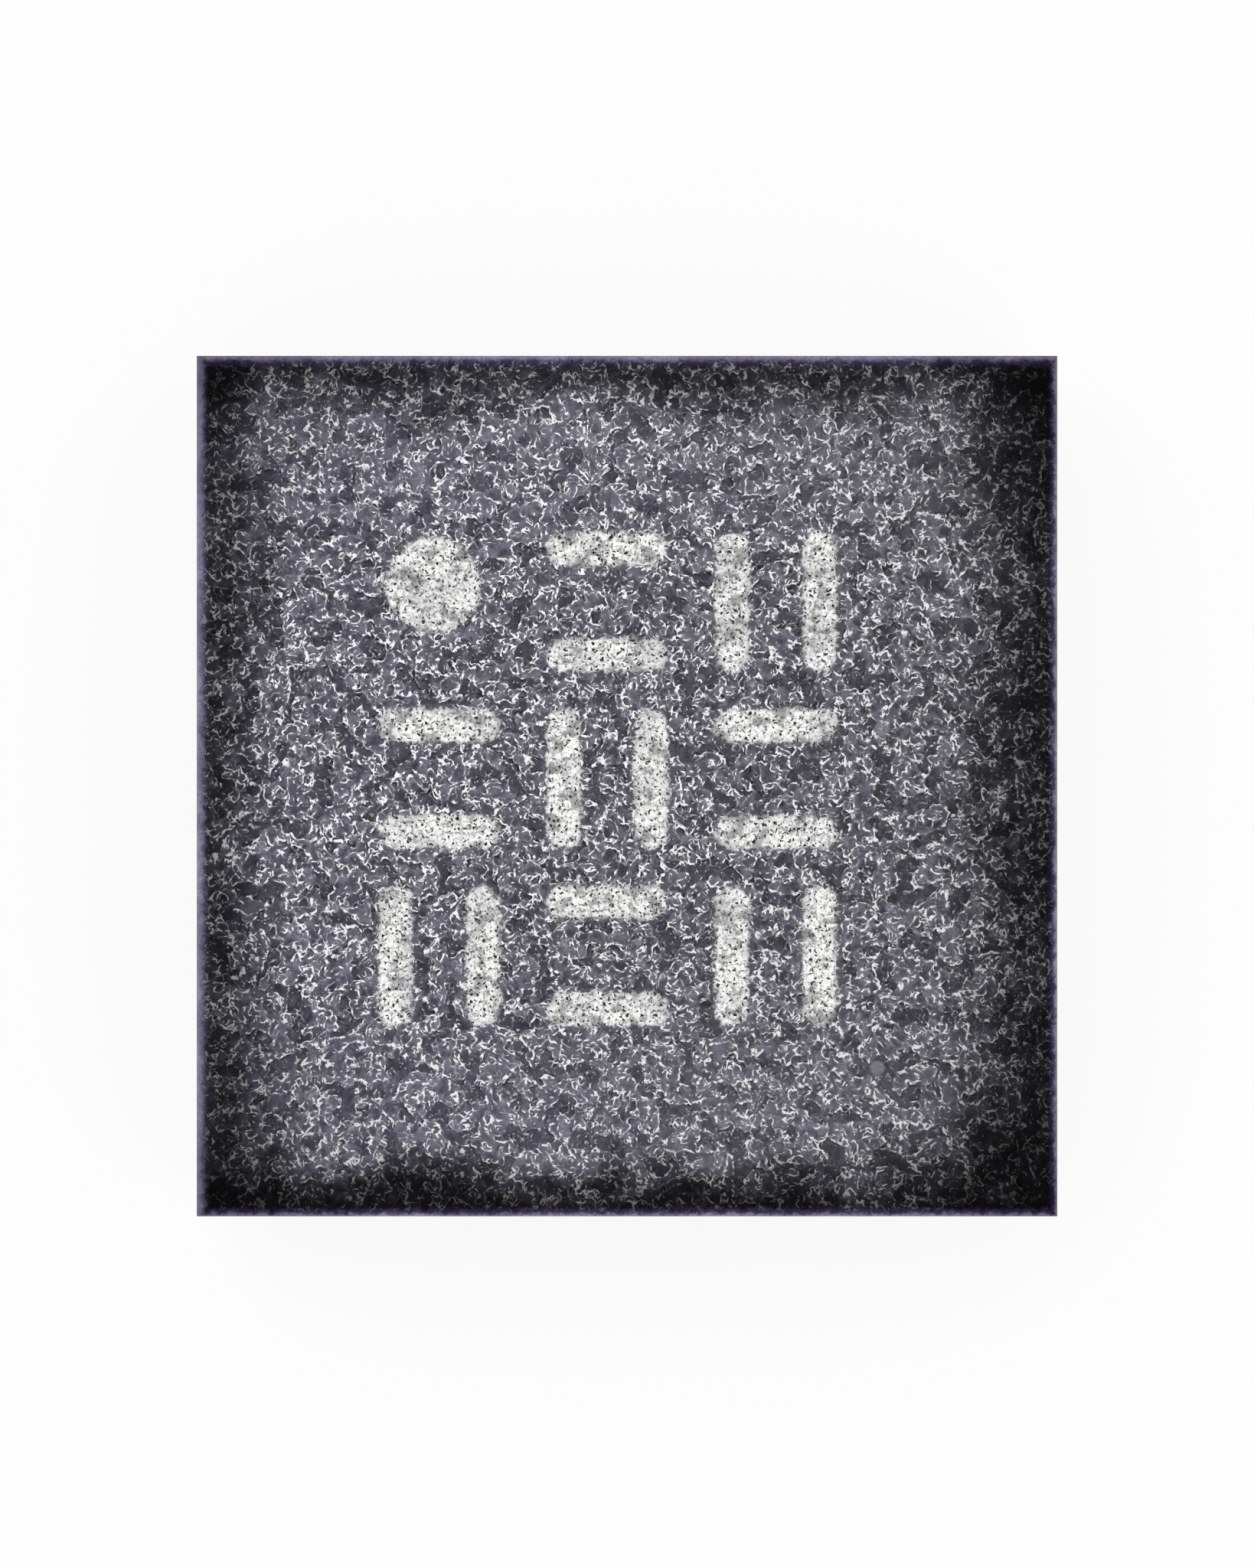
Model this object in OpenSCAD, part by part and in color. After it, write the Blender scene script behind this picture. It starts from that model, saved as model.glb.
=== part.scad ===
// Gyroscope chip in a moulded land grid package, in millimetres.
// It lies on its contact pads: the origin is the middle of the seating plane, +Z points out of the
// marked top face, and the orientation dot is at -X, +Y.

/* [Package] */
// Side length of the square package
package_side = 3; // [2.8:0.05:4]
// Height from the contact pads to the top of the mould
package_height = 0.9; // [0.8:0.01:1.2]
// Break along the four top edges of the mould
edge_break = 0.015; // [0.005:0.005:0.04]

/* [Laser marking] */
// Depth of the laser marks
mark_depth = 0.015; // [0.005:0.005:0.03]
// Width of one laser stroke
mark_stroke = 0.115; // [0.08:0.005:0.15]
// Width of one marked cell
mark_width = 0.42; // [0.3:0.01:0.5]
// Height of one marked cell
mark_height = 0.486; // [0.35:0.01:0.55]
// Distance from one column of marks to the next
mark_column_pitch = 0.587; // [0.55:0.01:0.7]
// Distance from one row of marks to the next
mark_row_pitch = 0.617; // [0.58:0.01:0.7]
// Shift of the marks to the left of the package centre
mark_shift_left = 0.068; // [0:0.01:0.1]
// Shift of the marks up from the package centre
mark_shift_up = 0.025; // [0:0.01:0.1]
// Diameter of the orientation dot
dot_diameter = 0.33; // [0.2:0.01:0.42]
// Rise of the dot above the middle of its row
dot_rise = 0.06; // [0:0.01:0.08]
// Shift of the dot to the left of the middle of its column
dot_shift_left = 0.02; // [0:0.01:0.05]

/* [Contact pads] */
// Number of pads along the left and right sides
long_row_count = 5; // [3:1:5]
// Number of pads along the top and bottom sides
short_row_count = 3; // [2:1:3]
// Distance from one pad to the next
pad_pitch = 0.5; // [0.4:0.01:0.55]
// Size of a pad along the package edge
pad_width = 0.25; // [0.2:0.01:0.3]
// Size of a pad inwards from the package edge
pad_length = 0.35; // [0.3:0.01:0.4]
// Thickness of a pad, copper with its plating
pad_thickness = 0.03; // [0.025:0.001:0.04]
// Bare strip between the package edge and the pads
pad_margin = 0.1; // [0.05:0.01:0.15]
// Corner cut from pad 1
pad_1_chamfer = 0.1; // [0.05:0.01:0.15]

/* [Laminate] */
// Thickness of the laminate core
core_thickness = 0.16; // [0.1:0.01:0.2]
// Thickness of each solder mask
mask_thickness = 0.02; // [0.016:0.001:0.024]
// Gap between the solder mask and the metal in its openings
mask_gap = 0.03; // [0.02:0.005:0.05]
// Diameter of the filled vias
via_diameter = 0.1; // [0.06:0.01:0.12]
// Distance from the outer end of a pad to the middle of its via
via_inset = 0.12; // [0.11:0.005:0.2]

/* [Bond fingers] */
// Width of a bond finger
finger_width = 0.12; // [0.1:0.01:0.16]
// Length of a bond finger
finger_length = 0.3; // [0.26:0.01:0.32]
// Thickness of a bond finger
finger_thickness = 0.014; // [0.01:0.001:0.015]
// Distance from the outer end of a pad to the outer end of its finger
finger_setback = 0.05; // [0.03:0.01:0.06]
// Width of the plating tail that runs out to the sawn edge
tail_width = 0.06; // [0.03:0.01:0.08]

/* [Control die] */
// Width of the control die
control_width = 1.8; // [1.65:0.05:1.9]
// Depth of the control die
control_depth = 1.8; // [1.7:0.05:1.9]
// Thickness of the control die
control_thickness = 0.15; // [0.1:0.01:0.2]
// Thickness of the adhesive film under either die
film_thickness = 0.02; // [0.01:0.005:0.03]
// Side length of the square bond pads on the dies
die_pad_width = 0.07; // [0.06:0.005:0.08]
// Height of those pads above the die
die_pad_height = 0.003; // [0.002:0.001:0.005]
// Distance from the edge of a die to the middle of its pads
die_pad_inset = 0.07; // [0.05:0.005:0.08]
// Distance from one pad to the next round the control die
die_pad_pitch = 0.3; // [0.2:0.01:0.35]

/* [Sensor] */
// Width of the sensor
sensor_width = 1.4; // [1.2:0.05:1.5]
// Depth of the sensor, with the shelf that carries its pads
sensor_depth = 1.2; // [1:0.05:1.25]
// Depth of that shelf
sensor_shelf = 0.2; // [0.15:0.01:0.25]
// Distance from the lower edge of the control die to the sensor
sensor_edge_gap = 0.2; // [0.15:0.01:0.22]
// Thickness of the sensor base wafer
base_thickness = 0.12; // [0.08:0.01:0.15]
// Thickness of the sensor layer that holds the masses
layer_thickness = 0.03; // [0.02:0.005:0.04]
// Thickness of the cap wafer
cap_thickness = 0.14; // [0.1:0.01:0.18]
// Width of the seal ring round the masses
seal_width = 0.08; // [0.05:0.01:0.1]
// Depth of the recess below the masses
base_recess = 0.02; // [0.01:0.005:0.04]
// Depth of the recess above the masses
cap_recess = 0.05; // [0.02:0.005:0.07]

/* [Vibrating masses] */
// Width of a comb finger
comb_width = 0.008; // [0.006:0.001:0.01]
// Distance from one comb finger to the next on the same side
comb_pitch = 0.024; // [0.022:0.001:0.04]
// Length of a comb finger
comb_length = 0.08; // [0.06:0.005:0.09]
// Length over which the two combs overlap
comb_overlap = 0.04; // [0.02:0.005:0.05]
// Width of the bar that carries the fixed combs
comb_spine = 0.03; // [0.02:0.005:0.04]
// Width of a spring beam
spring_width = 0.008; // [0.006:0.001:0.012]
// Length of a spring beam
spring_length = 0.12; // [0.1:0.01:0.15]
// Distance from the middle of a mass to its inner beams
spring_inner = 0.04; // [0.03:0.005:0.05]
// Distance from the middle of a mass to its outer beams
spring_outer = 0.1; // [0.09:0.005:0.105]
// Side length of the square anchors
anchor_width = 0.05; // [0.03:0.005:0.055]
// Side length of the square release holes through the masses
release_hole_width = 0.012; // [0.006:0.002:0.02]
// Distance from one release hole to the next
release_hole_pitch = 0.06; // [0.04:0.005:0.08]
// Gap from the masses to the anchors and the cavity wall
cavity_gap = 0.015; // [0.01:0.005:0.02]

/* [Wires] */
// Diameter of the gold wire
wire_diameter = 0.02; // [0.015:0.001:0.025]
// Diameter of the ball at the start of a wire
ball_diameter = 0.05; // [0.04:0.002:0.06]
// Height of the ball
ball_height = 0.012; // [0.008:0.001:0.02]
// Height of the wire loop above its first pad
loop_height = 0.1; // [0.07:0.005:0.14]
// Radius of the bend at the top of the loop
bend_radius = 0.04; // [0.02:0.005:0.05]
// Diameter of the flattened stitch at the end of a wire
stitch_diameter = 0.045; // [0.03:0.005:0.06]
// Height of that stitch
stitch_height = 0.006; // [0.004:0.001:0.01]
// Distance from the inner end of a finger to the stitch
stitch_inset = 0.07; // [0.05:0.005:0.1]
// Number of wires from the sensor to the control die
sensor_wire_count = 8; // [4:1:8]
// Distance from one sensor wire to the next
sensor_wire_pitch = 0.14; // [0.1:0.01:0.15]
// Distance from the outer pads of the control die to the row for the sensor
sensor_row_inset = 0.17; // [0.12:0.01:0.18]

/* [Hidden] */
$fn = 48;
half = package_side / 2;
pads = 2 * (long_row_count + short_row_count);
overshoot = 0.1;

// Levels of the stack, from the seating plane up
core_z = pad_thickness;
core_top = core_z + core_thickness;
mask_top = core_top + mask_thickness;
finger_top = core_top + finger_thickness;
control_z = mask_top + film_thickness;
control_top = control_z + control_thickness;
sensor_z = control_top + film_thickness;
layer_z = sensor_z + base_thickness;
cap_z = layer_z + layer_thickness;

// Places measured inwards from the package edge
finger_start = pad_margin + finger_setback;
stitch_place = finger_start + finger_length - stitch_inset;
via_place = pad_margin + via_inset;

// Plan of the sensor
sensor_front = sensor_edge_gap - control_depth / 2;
sensor_back = sensor_front + sensor_depth;
sealed_depth = sensor_depth - sensor_shelf;
sealed_middle = sensor_front + sealed_depth / 2;
sensor_row_y = control_depth / 2 - die_pad_inset - sensor_row_inset;
cavity_width = sensor_width - 2 * seal_width;
cavity_depth = sealed_depth - 2 * seal_width;

// Plan of one vibrating mass, measured from the middle of the cavity
comb_reach = 2 * comb_length - comb_overlap;
mass_near = comb_spine / 2 + comb_reach;
mass_far = cavity_width / 2 - cavity_gap - comb_spine - comb_reach;
mass_width = mass_far - mass_near;
mass_middle = (mass_near + mass_far) / 2;
mass_depth = cavity_depth - 2 * (spring_length + spring_width + cavity_gap);
comb_fingers = floor((mass_depth - comb_width) / comb_pitch);
link_inset = 2 * spring_width;
link_rise = spring_length / 2;

// Colours
mould_colour = "#3b3843";
laminate_colour = "#6f5a35";
mask_colour = "#1d3b2c";
gold_colour = "#d8b25c";
copper_colour = "#b8713f";
film_colour = "#d9d4c4";
silicon_colour = "#6d7078";
layer_colour = "#8f95a3";

// Pads are counted round the package from the dot: down the left side, along the bottom, up the right
// side and back along the top. Each side is the left one turned by a number of quarter turns.
function row_count(side) = side % 2 == 0 ? long_row_count : short_row_count;
function first_on(side) = side == 0 ? 1 : first_on(side - 1) + row_count(side - 1);
function side_of(i, side = 3) = i >= first_on(side) ? side : side_of(i, side - 1);
function steps_along(i) = (row_count(side_of(i)) - 1) / 2 - (i - first_on(side_of(i)));
function control_half(side) = (side % 2 == 0 ? control_width : control_depth) / 2;
function sensor_wire_x(i) = (i - (sensor_wire_count + 1) / 2) * sensor_wire_pitch;

// Moves to pad i: X runs inwards from the package edge, and Y along it
module at_pad(i) {
    rotate(90 * side_of(i)) translate([-half, steps_along(i) * pad_pitch, 0]) children();
}

// Moves to the pad of the control die that is wired to pad i
module at_control_pad(i) {
    rotate(90 * side_of(i))
        translate([die_pad_inset - control_half(side_of(i)), steps_along(i) * die_pad_pitch, control_top])
            children();
}

module plate(width, depth, thickness) {
    translate([-width / 2, -depth / 2, 0]) cube([width, depth, thickness]);
}

module die_pad() {
    plate(die_pad_width, die_pad_width, die_pad_height);
}

// Mould and its marking

// Outline across the mould, with its two top edges broken
module mould_section() {
    height = package_height - mask_top;
    polygon([
        [-half, 0], [half, 0], [half, height - edge_break], [half - edge_break, height],
        [edge_break - half, height], [-half, height - edge_break]
    ]);
}

module mould_block() {
    translate([0, 0, mask_top]) intersection() {
        translate([0, half, 0]) rotate([90, 0, 0]) linear_extrude(package_side) mould_section();
        rotate(90) translate([0, half, 0]) rotate([90, 0, 0]) linear_extrude(package_side) mould_section();
    }
}

// One round-ended stroke along X
module stroke(length) {
    plate(length - mark_stroke, mark_stroke, mark_depth + overshoot);
    for (side = [-1, 1])
        translate([side * (length - mark_stroke) / 2, 0, 0])
            cylinder(d = mark_stroke, h = mark_depth + overshoot);
}

// Two level strokes, or two upright ones
module level_pair() {
    for (side = [-1, 1]) translate([0, side * (mark_height - mark_stroke) / 2, 0]) stroke(mark_width);
}

module upright_pair() {
    for (side = [-1, 1])
        translate([side * (mark_width - mark_stroke) / 2, 0, 0]) rotate(90) stroke(mark_height);
}

// Plain laser marks in three rows and columns, with the orientation dot in the first cell
module laser_marks() {
    translate([-mark_shift_left, mark_shift_up, package_height - mark_depth])
        for (column = [-1:1], row = [-1:1])
            translate([column * mark_column_pitch, row * mark_row_pitch, 0])
                if (column == -1 && row == 1)
                    translate([-dot_shift_left, dot_rise, 0])
                        cylinder(d = dot_diameter, h = mark_depth + overshoot);
                else if ((column + row) % 2 == 0) upright_pair();
                else level_pair();
}

// Mould with room for the dies and the fingers
module mould_round_dies() {
    difference() {
        union() {
            mould_block();
            mask_windows();
        }
        laser_marks();
        bond_fingers();
        control_film();
        control_die();
        sensor_film();
        sensor_outside();
    }
}

module mould_body() {
    color(mould_colour) difference() {
        mould_round_dies();
        for (i = [1:pads]) bond_wire(i, die_pad_height);
        for (i = [1:sensor_wire_count]) sensor_wire(i, die_pad_height);
    }
}

// Laminate substrate

module contact_pad(i) {
    color(gold_colour) at_pad(i) translate([pad_margin, 0, 0]) linear_extrude(pad_thickness)
        polygon([
            [0, -pad_width / 2], [pad_length - (i == 1 ? pad_1_chamfer : 0), -pad_width / 2],
            if (i == 1) [pad_length, pad_1_chamfer - pad_width / 2],
            [pad_length, pad_width / 2], [0, pad_width / 2]
        ]);
}

module via(i, height = core_thickness) {
    at_pad(i) translate([via_place, 0, core_z]) cylinder(d = via_diameter, h = height);
}

module vias() {
    color(copper_colour) for (i = [1:pads]) via(i);
}

module substrate_core() {
    color(laminate_colour) difference() {
        translate([0, 0, core_z]) plate(package_side, package_side, core_thickness);
        for (i = [1:pads]) via(i);
    }
}

// Finger on top of the core, with a tail that was cut through when the package was sawn out
module bond_finger(i) {
    at_pad(i) translate([0, 0, core_top]) {
        translate([finger_start, -finger_width / 2, 0]) cube([finger_length, finger_width, finger_thickness]);
        translate([0, -tail_width / 2, 0]) cube([finger_start, tail_width, finger_thickness]);
    }
}

module bond_fingers() {
    color(gold_colour) for (i = [1:pads]) bond_finger(i);
}

// One window in the upper mask for each row of fingers
module mask_windows() {
    for (side = [0:3]) {
        row = (row_count(side) - 1) * pad_pitch + finger_width + 2 * mask_gap;
        rotate(90 * side) translate([finger_start - mask_gap - half, -row / 2, core_top])
            cube([finger_length + 2 * mask_gap, row, mask_thickness]);
    }
}

module top_mask() {
    color(mask_colour) difference() {
        translate([0, 0, core_top]) plate(package_side, package_side, mask_thickness);
        mask_windows();
        bond_fingers();
    }
}

module bottom_mask() {
    color(mask_colour) difference() {
        translate([0, 0, core_z - mask_thickness]) plate(package_side, package_side, mask_thickness);
        for (i = [1:pads])
            at_pad(i) translate([pad_margin - mask_gap, -pad_width / 2 - mask_gap, 0])
                cube([pad_length + 2 * mask_gap, pad_width + 2 * mask_gap, core_z]);
    }
}

// Control die

module control_film() {
    color(film_colour) translate([0, 0, mask_top]) plate(control_width, control_depth, film_thickness);
}

module control_die() {
    color(silicon_colour) {
        translate([0, 0, control_z]) plate(control_width, control_depth, control_thickness);
        for (i = [1:pads]) at_control_pad(i) die_pad();
        for (i = [1:sensor_wire_count]) translate([sensor_wire_x(i), sensor_row_y, control_top]) die_pad();
    }
}

// Sensor

module sensor_plate(depth, thickness) {
    translate([-sensor_width / 2, sensor_front, 0]) cube([sensor_width, depth, thickness]);
}

module sensor_film() {
    color(film_colour) translate([0, 0, control_top]) sensor_plate(sensor_depth, film_thickness);
}

module sensor_pads() {
    for (i = [1:sensor_wire_count])
        translate([sensor_wire_x(i), sensor_back - die_pad_inset, layer_z]) die_pad();
}

// The closed outside of the sensor, which the mould flows round
module sensor_outside() {
    translate([0, 0, sensor_z]) sensor_plate(sensor_depth, base_thickness);
    translate([0, 0, layer_z]) sensor_plate(sealed_depth, layer_thickness + cap_thickness);
    sensor_pads();
}

// Box over the cavity, from its floor level up
module cavity(floor_z, height) {
    translate([0, sealed_middle, floor_z]) plate(cavity_width, cavity_depth, height);
}

// Extrudes a plan drawn about the middle of the cavity
module in_cavity(z, height) {
    translate([0, sealed_middle, z]) linear_extrude(height) children();
}

module sensor_base() {
    color(silicon_colour) {
        difference() {
            translate([0, 0, sensor_z]) sensor_plate(sensor_depth, base_thickness);
            cavity(layer_z - base_recess, base_recess + overshoot);
        }
        in_cavity(layer_z - base_recess, base_recess) {
            anchors();
            spines();
        }
        sensor_pads();
    }
}

module seal_ring() {
    color(layer_colour) difference() {
        translate([0, 0, layer_z]) sensor_plate(sealed_depth, layer_thickness);
        cavity(layer_z - overshoot, layer_thickness + 2 * overshoot);
    }
}

module sensor_cap() {
    color(silicon_colour) difference() {
        translate([0, 0, cap_z]) sensor_plate(sealed_depth, cap_thickness);
        cavity(cap_z - overshoot, cap_recess + overshoot);
    }
}

// A comb whose fingers point along +X from its bar
module comb(count, bar) {
    first = -(count - 1) / 2 * comb_pitch;
    edge = comb_width / 2;
    polygon(concat(
        [[-bar, first - edge]],
        [for (k = [0:count - 1], corner = [[0, -edge], [comb_length, -edge], [comb_length, edge], [0, edge]])
            [corner.x, first + k * comb_pitch + corner.y]],
        [[-bar, -first + edge]]
    ));
}

// Draws a shape for each mass, and again on the four corners of it
module each_mass() {
    for (side = [-1, 1]) translate([side * mass_middle, 0]) children();
}

module each_corner() {
    each_mass() for (x = [0, 1], y = [0, 1]) mirror([x, 0]) mirror([0, y]) children();
}

module anchor() {
    translate([spring_outer - anchor_width / 2, mass_depth / 2 + cavity_gap]) square(anchor_width);
}

module anchors() {
    each_corner() anchor();
}

// Folded spring from the mass out to a cross bar and back to its anchor
module folded_spring() {
    base_y = mass_depth / 2;
    bar_y = base_y + spring_length;
    anchor_y = base_y + cavity_gap + anchor_width;
    translate([spring_inner - spring_width / 2, base_y]) square([spring_width, spring_length]);
    translate([spring_inner - spring_width / 2, bar_y])
        square([spring_outer - spring_inner + spring_width, spring_width]);
    translate([spring_outer - spring_width / 2, anchor_y]) square([spring_width, bar_y - anchor_y]);
    anchor();
}

// Places along a length, one pitch apart and centred on it
function spread(length, pitch) =
    let (steps = floor(length / pitch)) [for (k = [0:steps]) (k - steps / 2) * pitch];

// Plate with a grid of release holes and a comb on either side
module mass() {
    difference() {
        square([mass_width - comb_width, mass_depth], center = true);
        for (x = spread(mass_width - release_hole_pitch, release_hole_pitch))
            for (y = spread(mass_depth - release_hole_pitch, release_hole_pitch))
                translate([x, y]) square(release_hole_width, center = true);
    }
    for (turn = [0, 180]) rotate(turn) translate([mass_width / 2, 0]) comb(comb_fingers, comb_width);
}

// Beam that makes the two masses swing against each other
module link_beam() {
    leg_x = mass_near + link_inset;
    for (side = [-1, 1])
        translate([side * leg_x - spring_width / 2, mass_depth / 2]) square([spring_width, link_rise]);
    translate([-leg_x - spring_width / 2, mass_depth / 2 + link_rise])
        square([2 * leg_x + spring_width, spring_width]);
}

module vibrating_masses() {
    color(layer_colour) in_cavity(layer_z, layer_thickness) {
        each_mass() mass();
        each_corner() folded_spring();
        for (y = [0, 1]) mirror([0, y]) link_beam();
    }
}

// Bars of the fixed combs: one at each end of the cavity and one between the masses
module spines() {
    height = comb_fingers * comb_pitch + comb_width;
    for (x = [-1, 0, 1])
        translate([x * (mass_far + comb_reach + comb_spine / 2), 0])
            square([comb_spine, height], center = true);
}

module fixed_electrodes() {
    color(layer_colour) in_cavity(layer_z, layer_thickness) for (turn = [0, 180]) rotate(turn) {
        translate([comb_spine / 2, 0]) comb(comb_fingers + 1, comb_spine);
        translate([mass_far + comb_reach, 0]) rotate(180) comb(comb_fingers + 1, comb_spine);
    }
}

// Wires

// Gold wire from a ball on its first pad, over a round bend and straight down to a flat stitch.
// With a sink, its two ends reach down into the metal that they sit on.
module wire(first, last, sink) {
    run = [last.x - first.x, last.y - first.y];
    span = norm(run);
    drop = last.z - first.z;
    bend_z = loop_height - bend_radius;
    to_last = [span - bend_radius, drop - bend_z];
    leave = atan2(to_last.y, to_last.x) + acos(bend_radius / norm(to_last));
    straight = sqrt(to_last * to_last - bend_radius * bend_radius);
    color(gold_colour) translate(first) rotate(atan2(run.y, run.x)) {
        translate([0, 0, -sink]) cylinder(d = ball_diameter, h = ball_height + sink);
        cylinder(d = wire_diameter, h = bend_z);
        translate([bend_radius, 0, bend_z]) rotate([90, 0, 0]) rotate(leave)
            rotate_extrude(angle = 180 - leave) translate([bend_radius, 0]) circle(d = wire_diameter);
        difference() {
            translate([bend_radius * (1 + cos(leave)), 0, bend_z + bend_radius * sin(leave)])
                rotate([0, 180 - leave, 0]) cylinder(d = wire_diameter, h = straight + overshoot);
            translate([span, 0, drop - overshoot]) plate(4 * overshoot, 4 * overshoot, overshoot);
        }
        translate([span, 0, drop - sink]) cylinder(d = stitch_diameter, h = stitch_height + sink);
    }
}

module bond_wire(i, sink = 0) {
    side = side_of(i);
    rotate(90 * side) wire(
        [die_pad_inset - control_half(side), steps_along(i) * die_pad_pitch, control_top + die_pad_height],
        [stitch_place - half, steps_along(i) * pad_pitch, finger_top],
        sink
    );
}

module sensor_wire(i, sink = 0) {
    wire(
        [sensor_wire_x(i), sensor_back - die_pad_inset, layer_z + die_pad_height],
        [sensor_wire_x(i), sensor_row_y, control_top + die_pad_height],
        sink
    );
}

mould_body();
substrate_core();
top_mask();
bottom_mask();
vias();
bond_fingers();
control_film();
control_die();
sensor_film();
sensor_base();
seal_ring();
vibrating_masses();
fixed_electrodes();
sensor_cap();
for (i = [1:pads]) contact_pad(i);
for (i = [1:pads]) bond_wire(i);
for (i = [1:sensor_wire_count]) sensor_wire(i);
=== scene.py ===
"""Looks of a moulded gyroscope chip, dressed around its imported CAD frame."""

import logging
import math
from dataclasses import dataclass, field
from enum import IntEnum
from functools import reduce
from typing import NamedTuple

import bmesh
import bpy
import numpy as np
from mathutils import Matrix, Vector


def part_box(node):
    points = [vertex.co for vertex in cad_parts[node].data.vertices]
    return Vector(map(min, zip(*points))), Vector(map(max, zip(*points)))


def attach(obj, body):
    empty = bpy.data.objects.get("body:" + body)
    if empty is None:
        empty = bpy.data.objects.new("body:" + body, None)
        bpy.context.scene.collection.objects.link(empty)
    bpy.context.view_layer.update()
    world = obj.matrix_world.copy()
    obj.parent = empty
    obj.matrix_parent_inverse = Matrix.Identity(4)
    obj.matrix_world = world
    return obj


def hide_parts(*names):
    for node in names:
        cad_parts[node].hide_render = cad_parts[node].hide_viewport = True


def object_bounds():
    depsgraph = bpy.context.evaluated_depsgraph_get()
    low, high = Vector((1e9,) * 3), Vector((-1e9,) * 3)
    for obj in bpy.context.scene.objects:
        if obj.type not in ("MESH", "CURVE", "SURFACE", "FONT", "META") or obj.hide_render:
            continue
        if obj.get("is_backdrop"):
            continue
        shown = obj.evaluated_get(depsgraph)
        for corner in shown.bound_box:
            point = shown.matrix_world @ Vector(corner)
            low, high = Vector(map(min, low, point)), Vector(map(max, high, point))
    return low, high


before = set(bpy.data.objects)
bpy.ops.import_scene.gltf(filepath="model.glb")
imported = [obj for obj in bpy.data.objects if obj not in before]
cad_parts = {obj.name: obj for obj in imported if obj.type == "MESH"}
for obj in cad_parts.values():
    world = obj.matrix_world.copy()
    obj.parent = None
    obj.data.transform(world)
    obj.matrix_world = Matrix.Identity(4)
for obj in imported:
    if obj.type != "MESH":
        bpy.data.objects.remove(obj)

log = logging.getLogger("gyroscope_chip")

MM = 0.001
UM = 0.000001
BODY = "root"
PADS = 16
SENSOR_WIRES = 8
BAKE_MAP = "OFBake"
NOISE_MIDDLE = 0.5
SCREEN_TOP = 255
SCREEN_TOE = 0.04045
SCREEN_TOE_SLOPE = 12.92
SCREEN_OFFSET = 0.055
SCREEN_POWER = 2.4
MIX_SOCKETS = (0, 6, 7)
MIX_RESULT = 2

Socket = bpy.types.NodeSocket
Node = bpy.types.Node
Material = bpy.types.Material
Piece = bpy.types.Object
Triple = tuple[float, float, float]
Colour = tuple[float, float, float, float]
Value = Socket | float | Triple | Colour


class Noise(NamedTuple):
    """Kind of noise: size of its features in millimetres, number of finer layers and strength of each."""

    grain: float
    detail: float = 2.0
    rough: float = 0.5


class Step(NamedTuple):
    """Smooth step: where it starts and ends, and the levels before and after it."""

    start: float
    end: float
    low: float = 0.0
    high: float = 1.0


class Bend(NamedTuple):
    """How noise pushes a pattern about: size of the noise's features and reach, in millimetres."""

    grain: float
    reach: float


class Spots(NamedTuple):
    """Round spots in some cells.

    The fields are the size of a cell in millimetres, the least radius and its growth as shares of a cell, the
    soft edge, the share of cells that hold a spot, and which random part of a cell sets its size.
    """

    cell: float
    least: float
    growth: float
    edge: Step
    share: float
    size_part: int = 2


def linear(level: int) -> float:
    """Turn one channel of a screen colour into light.

    Args:
        level: The channel from 0 to 255.

    Returns:
        The light from 0 to 1.
    """
    share = level / SCREEN_TOP
    if share <= SCREEN_TOE:
        return share / SCREEN_TOE_SLOPE
    return ((share + SCREEN_OFFSET) / (1 + SCREEN_OFFSET)) ** SCREEN_POWER


def paint(red: int, green: int, blue: int) -> Colour:
    """Turn a screen colour into the linear one that a shader takes.

    Args:
        red: Red from 0 to 255.
        green: Green from 0 to 255.
        blue: Blue from 0 to 255.

    Returns:
        Linear red, green, blue and an alpha of 1.
    """
    return linear(red), linear(green), linear(blue), 1.0


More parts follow.
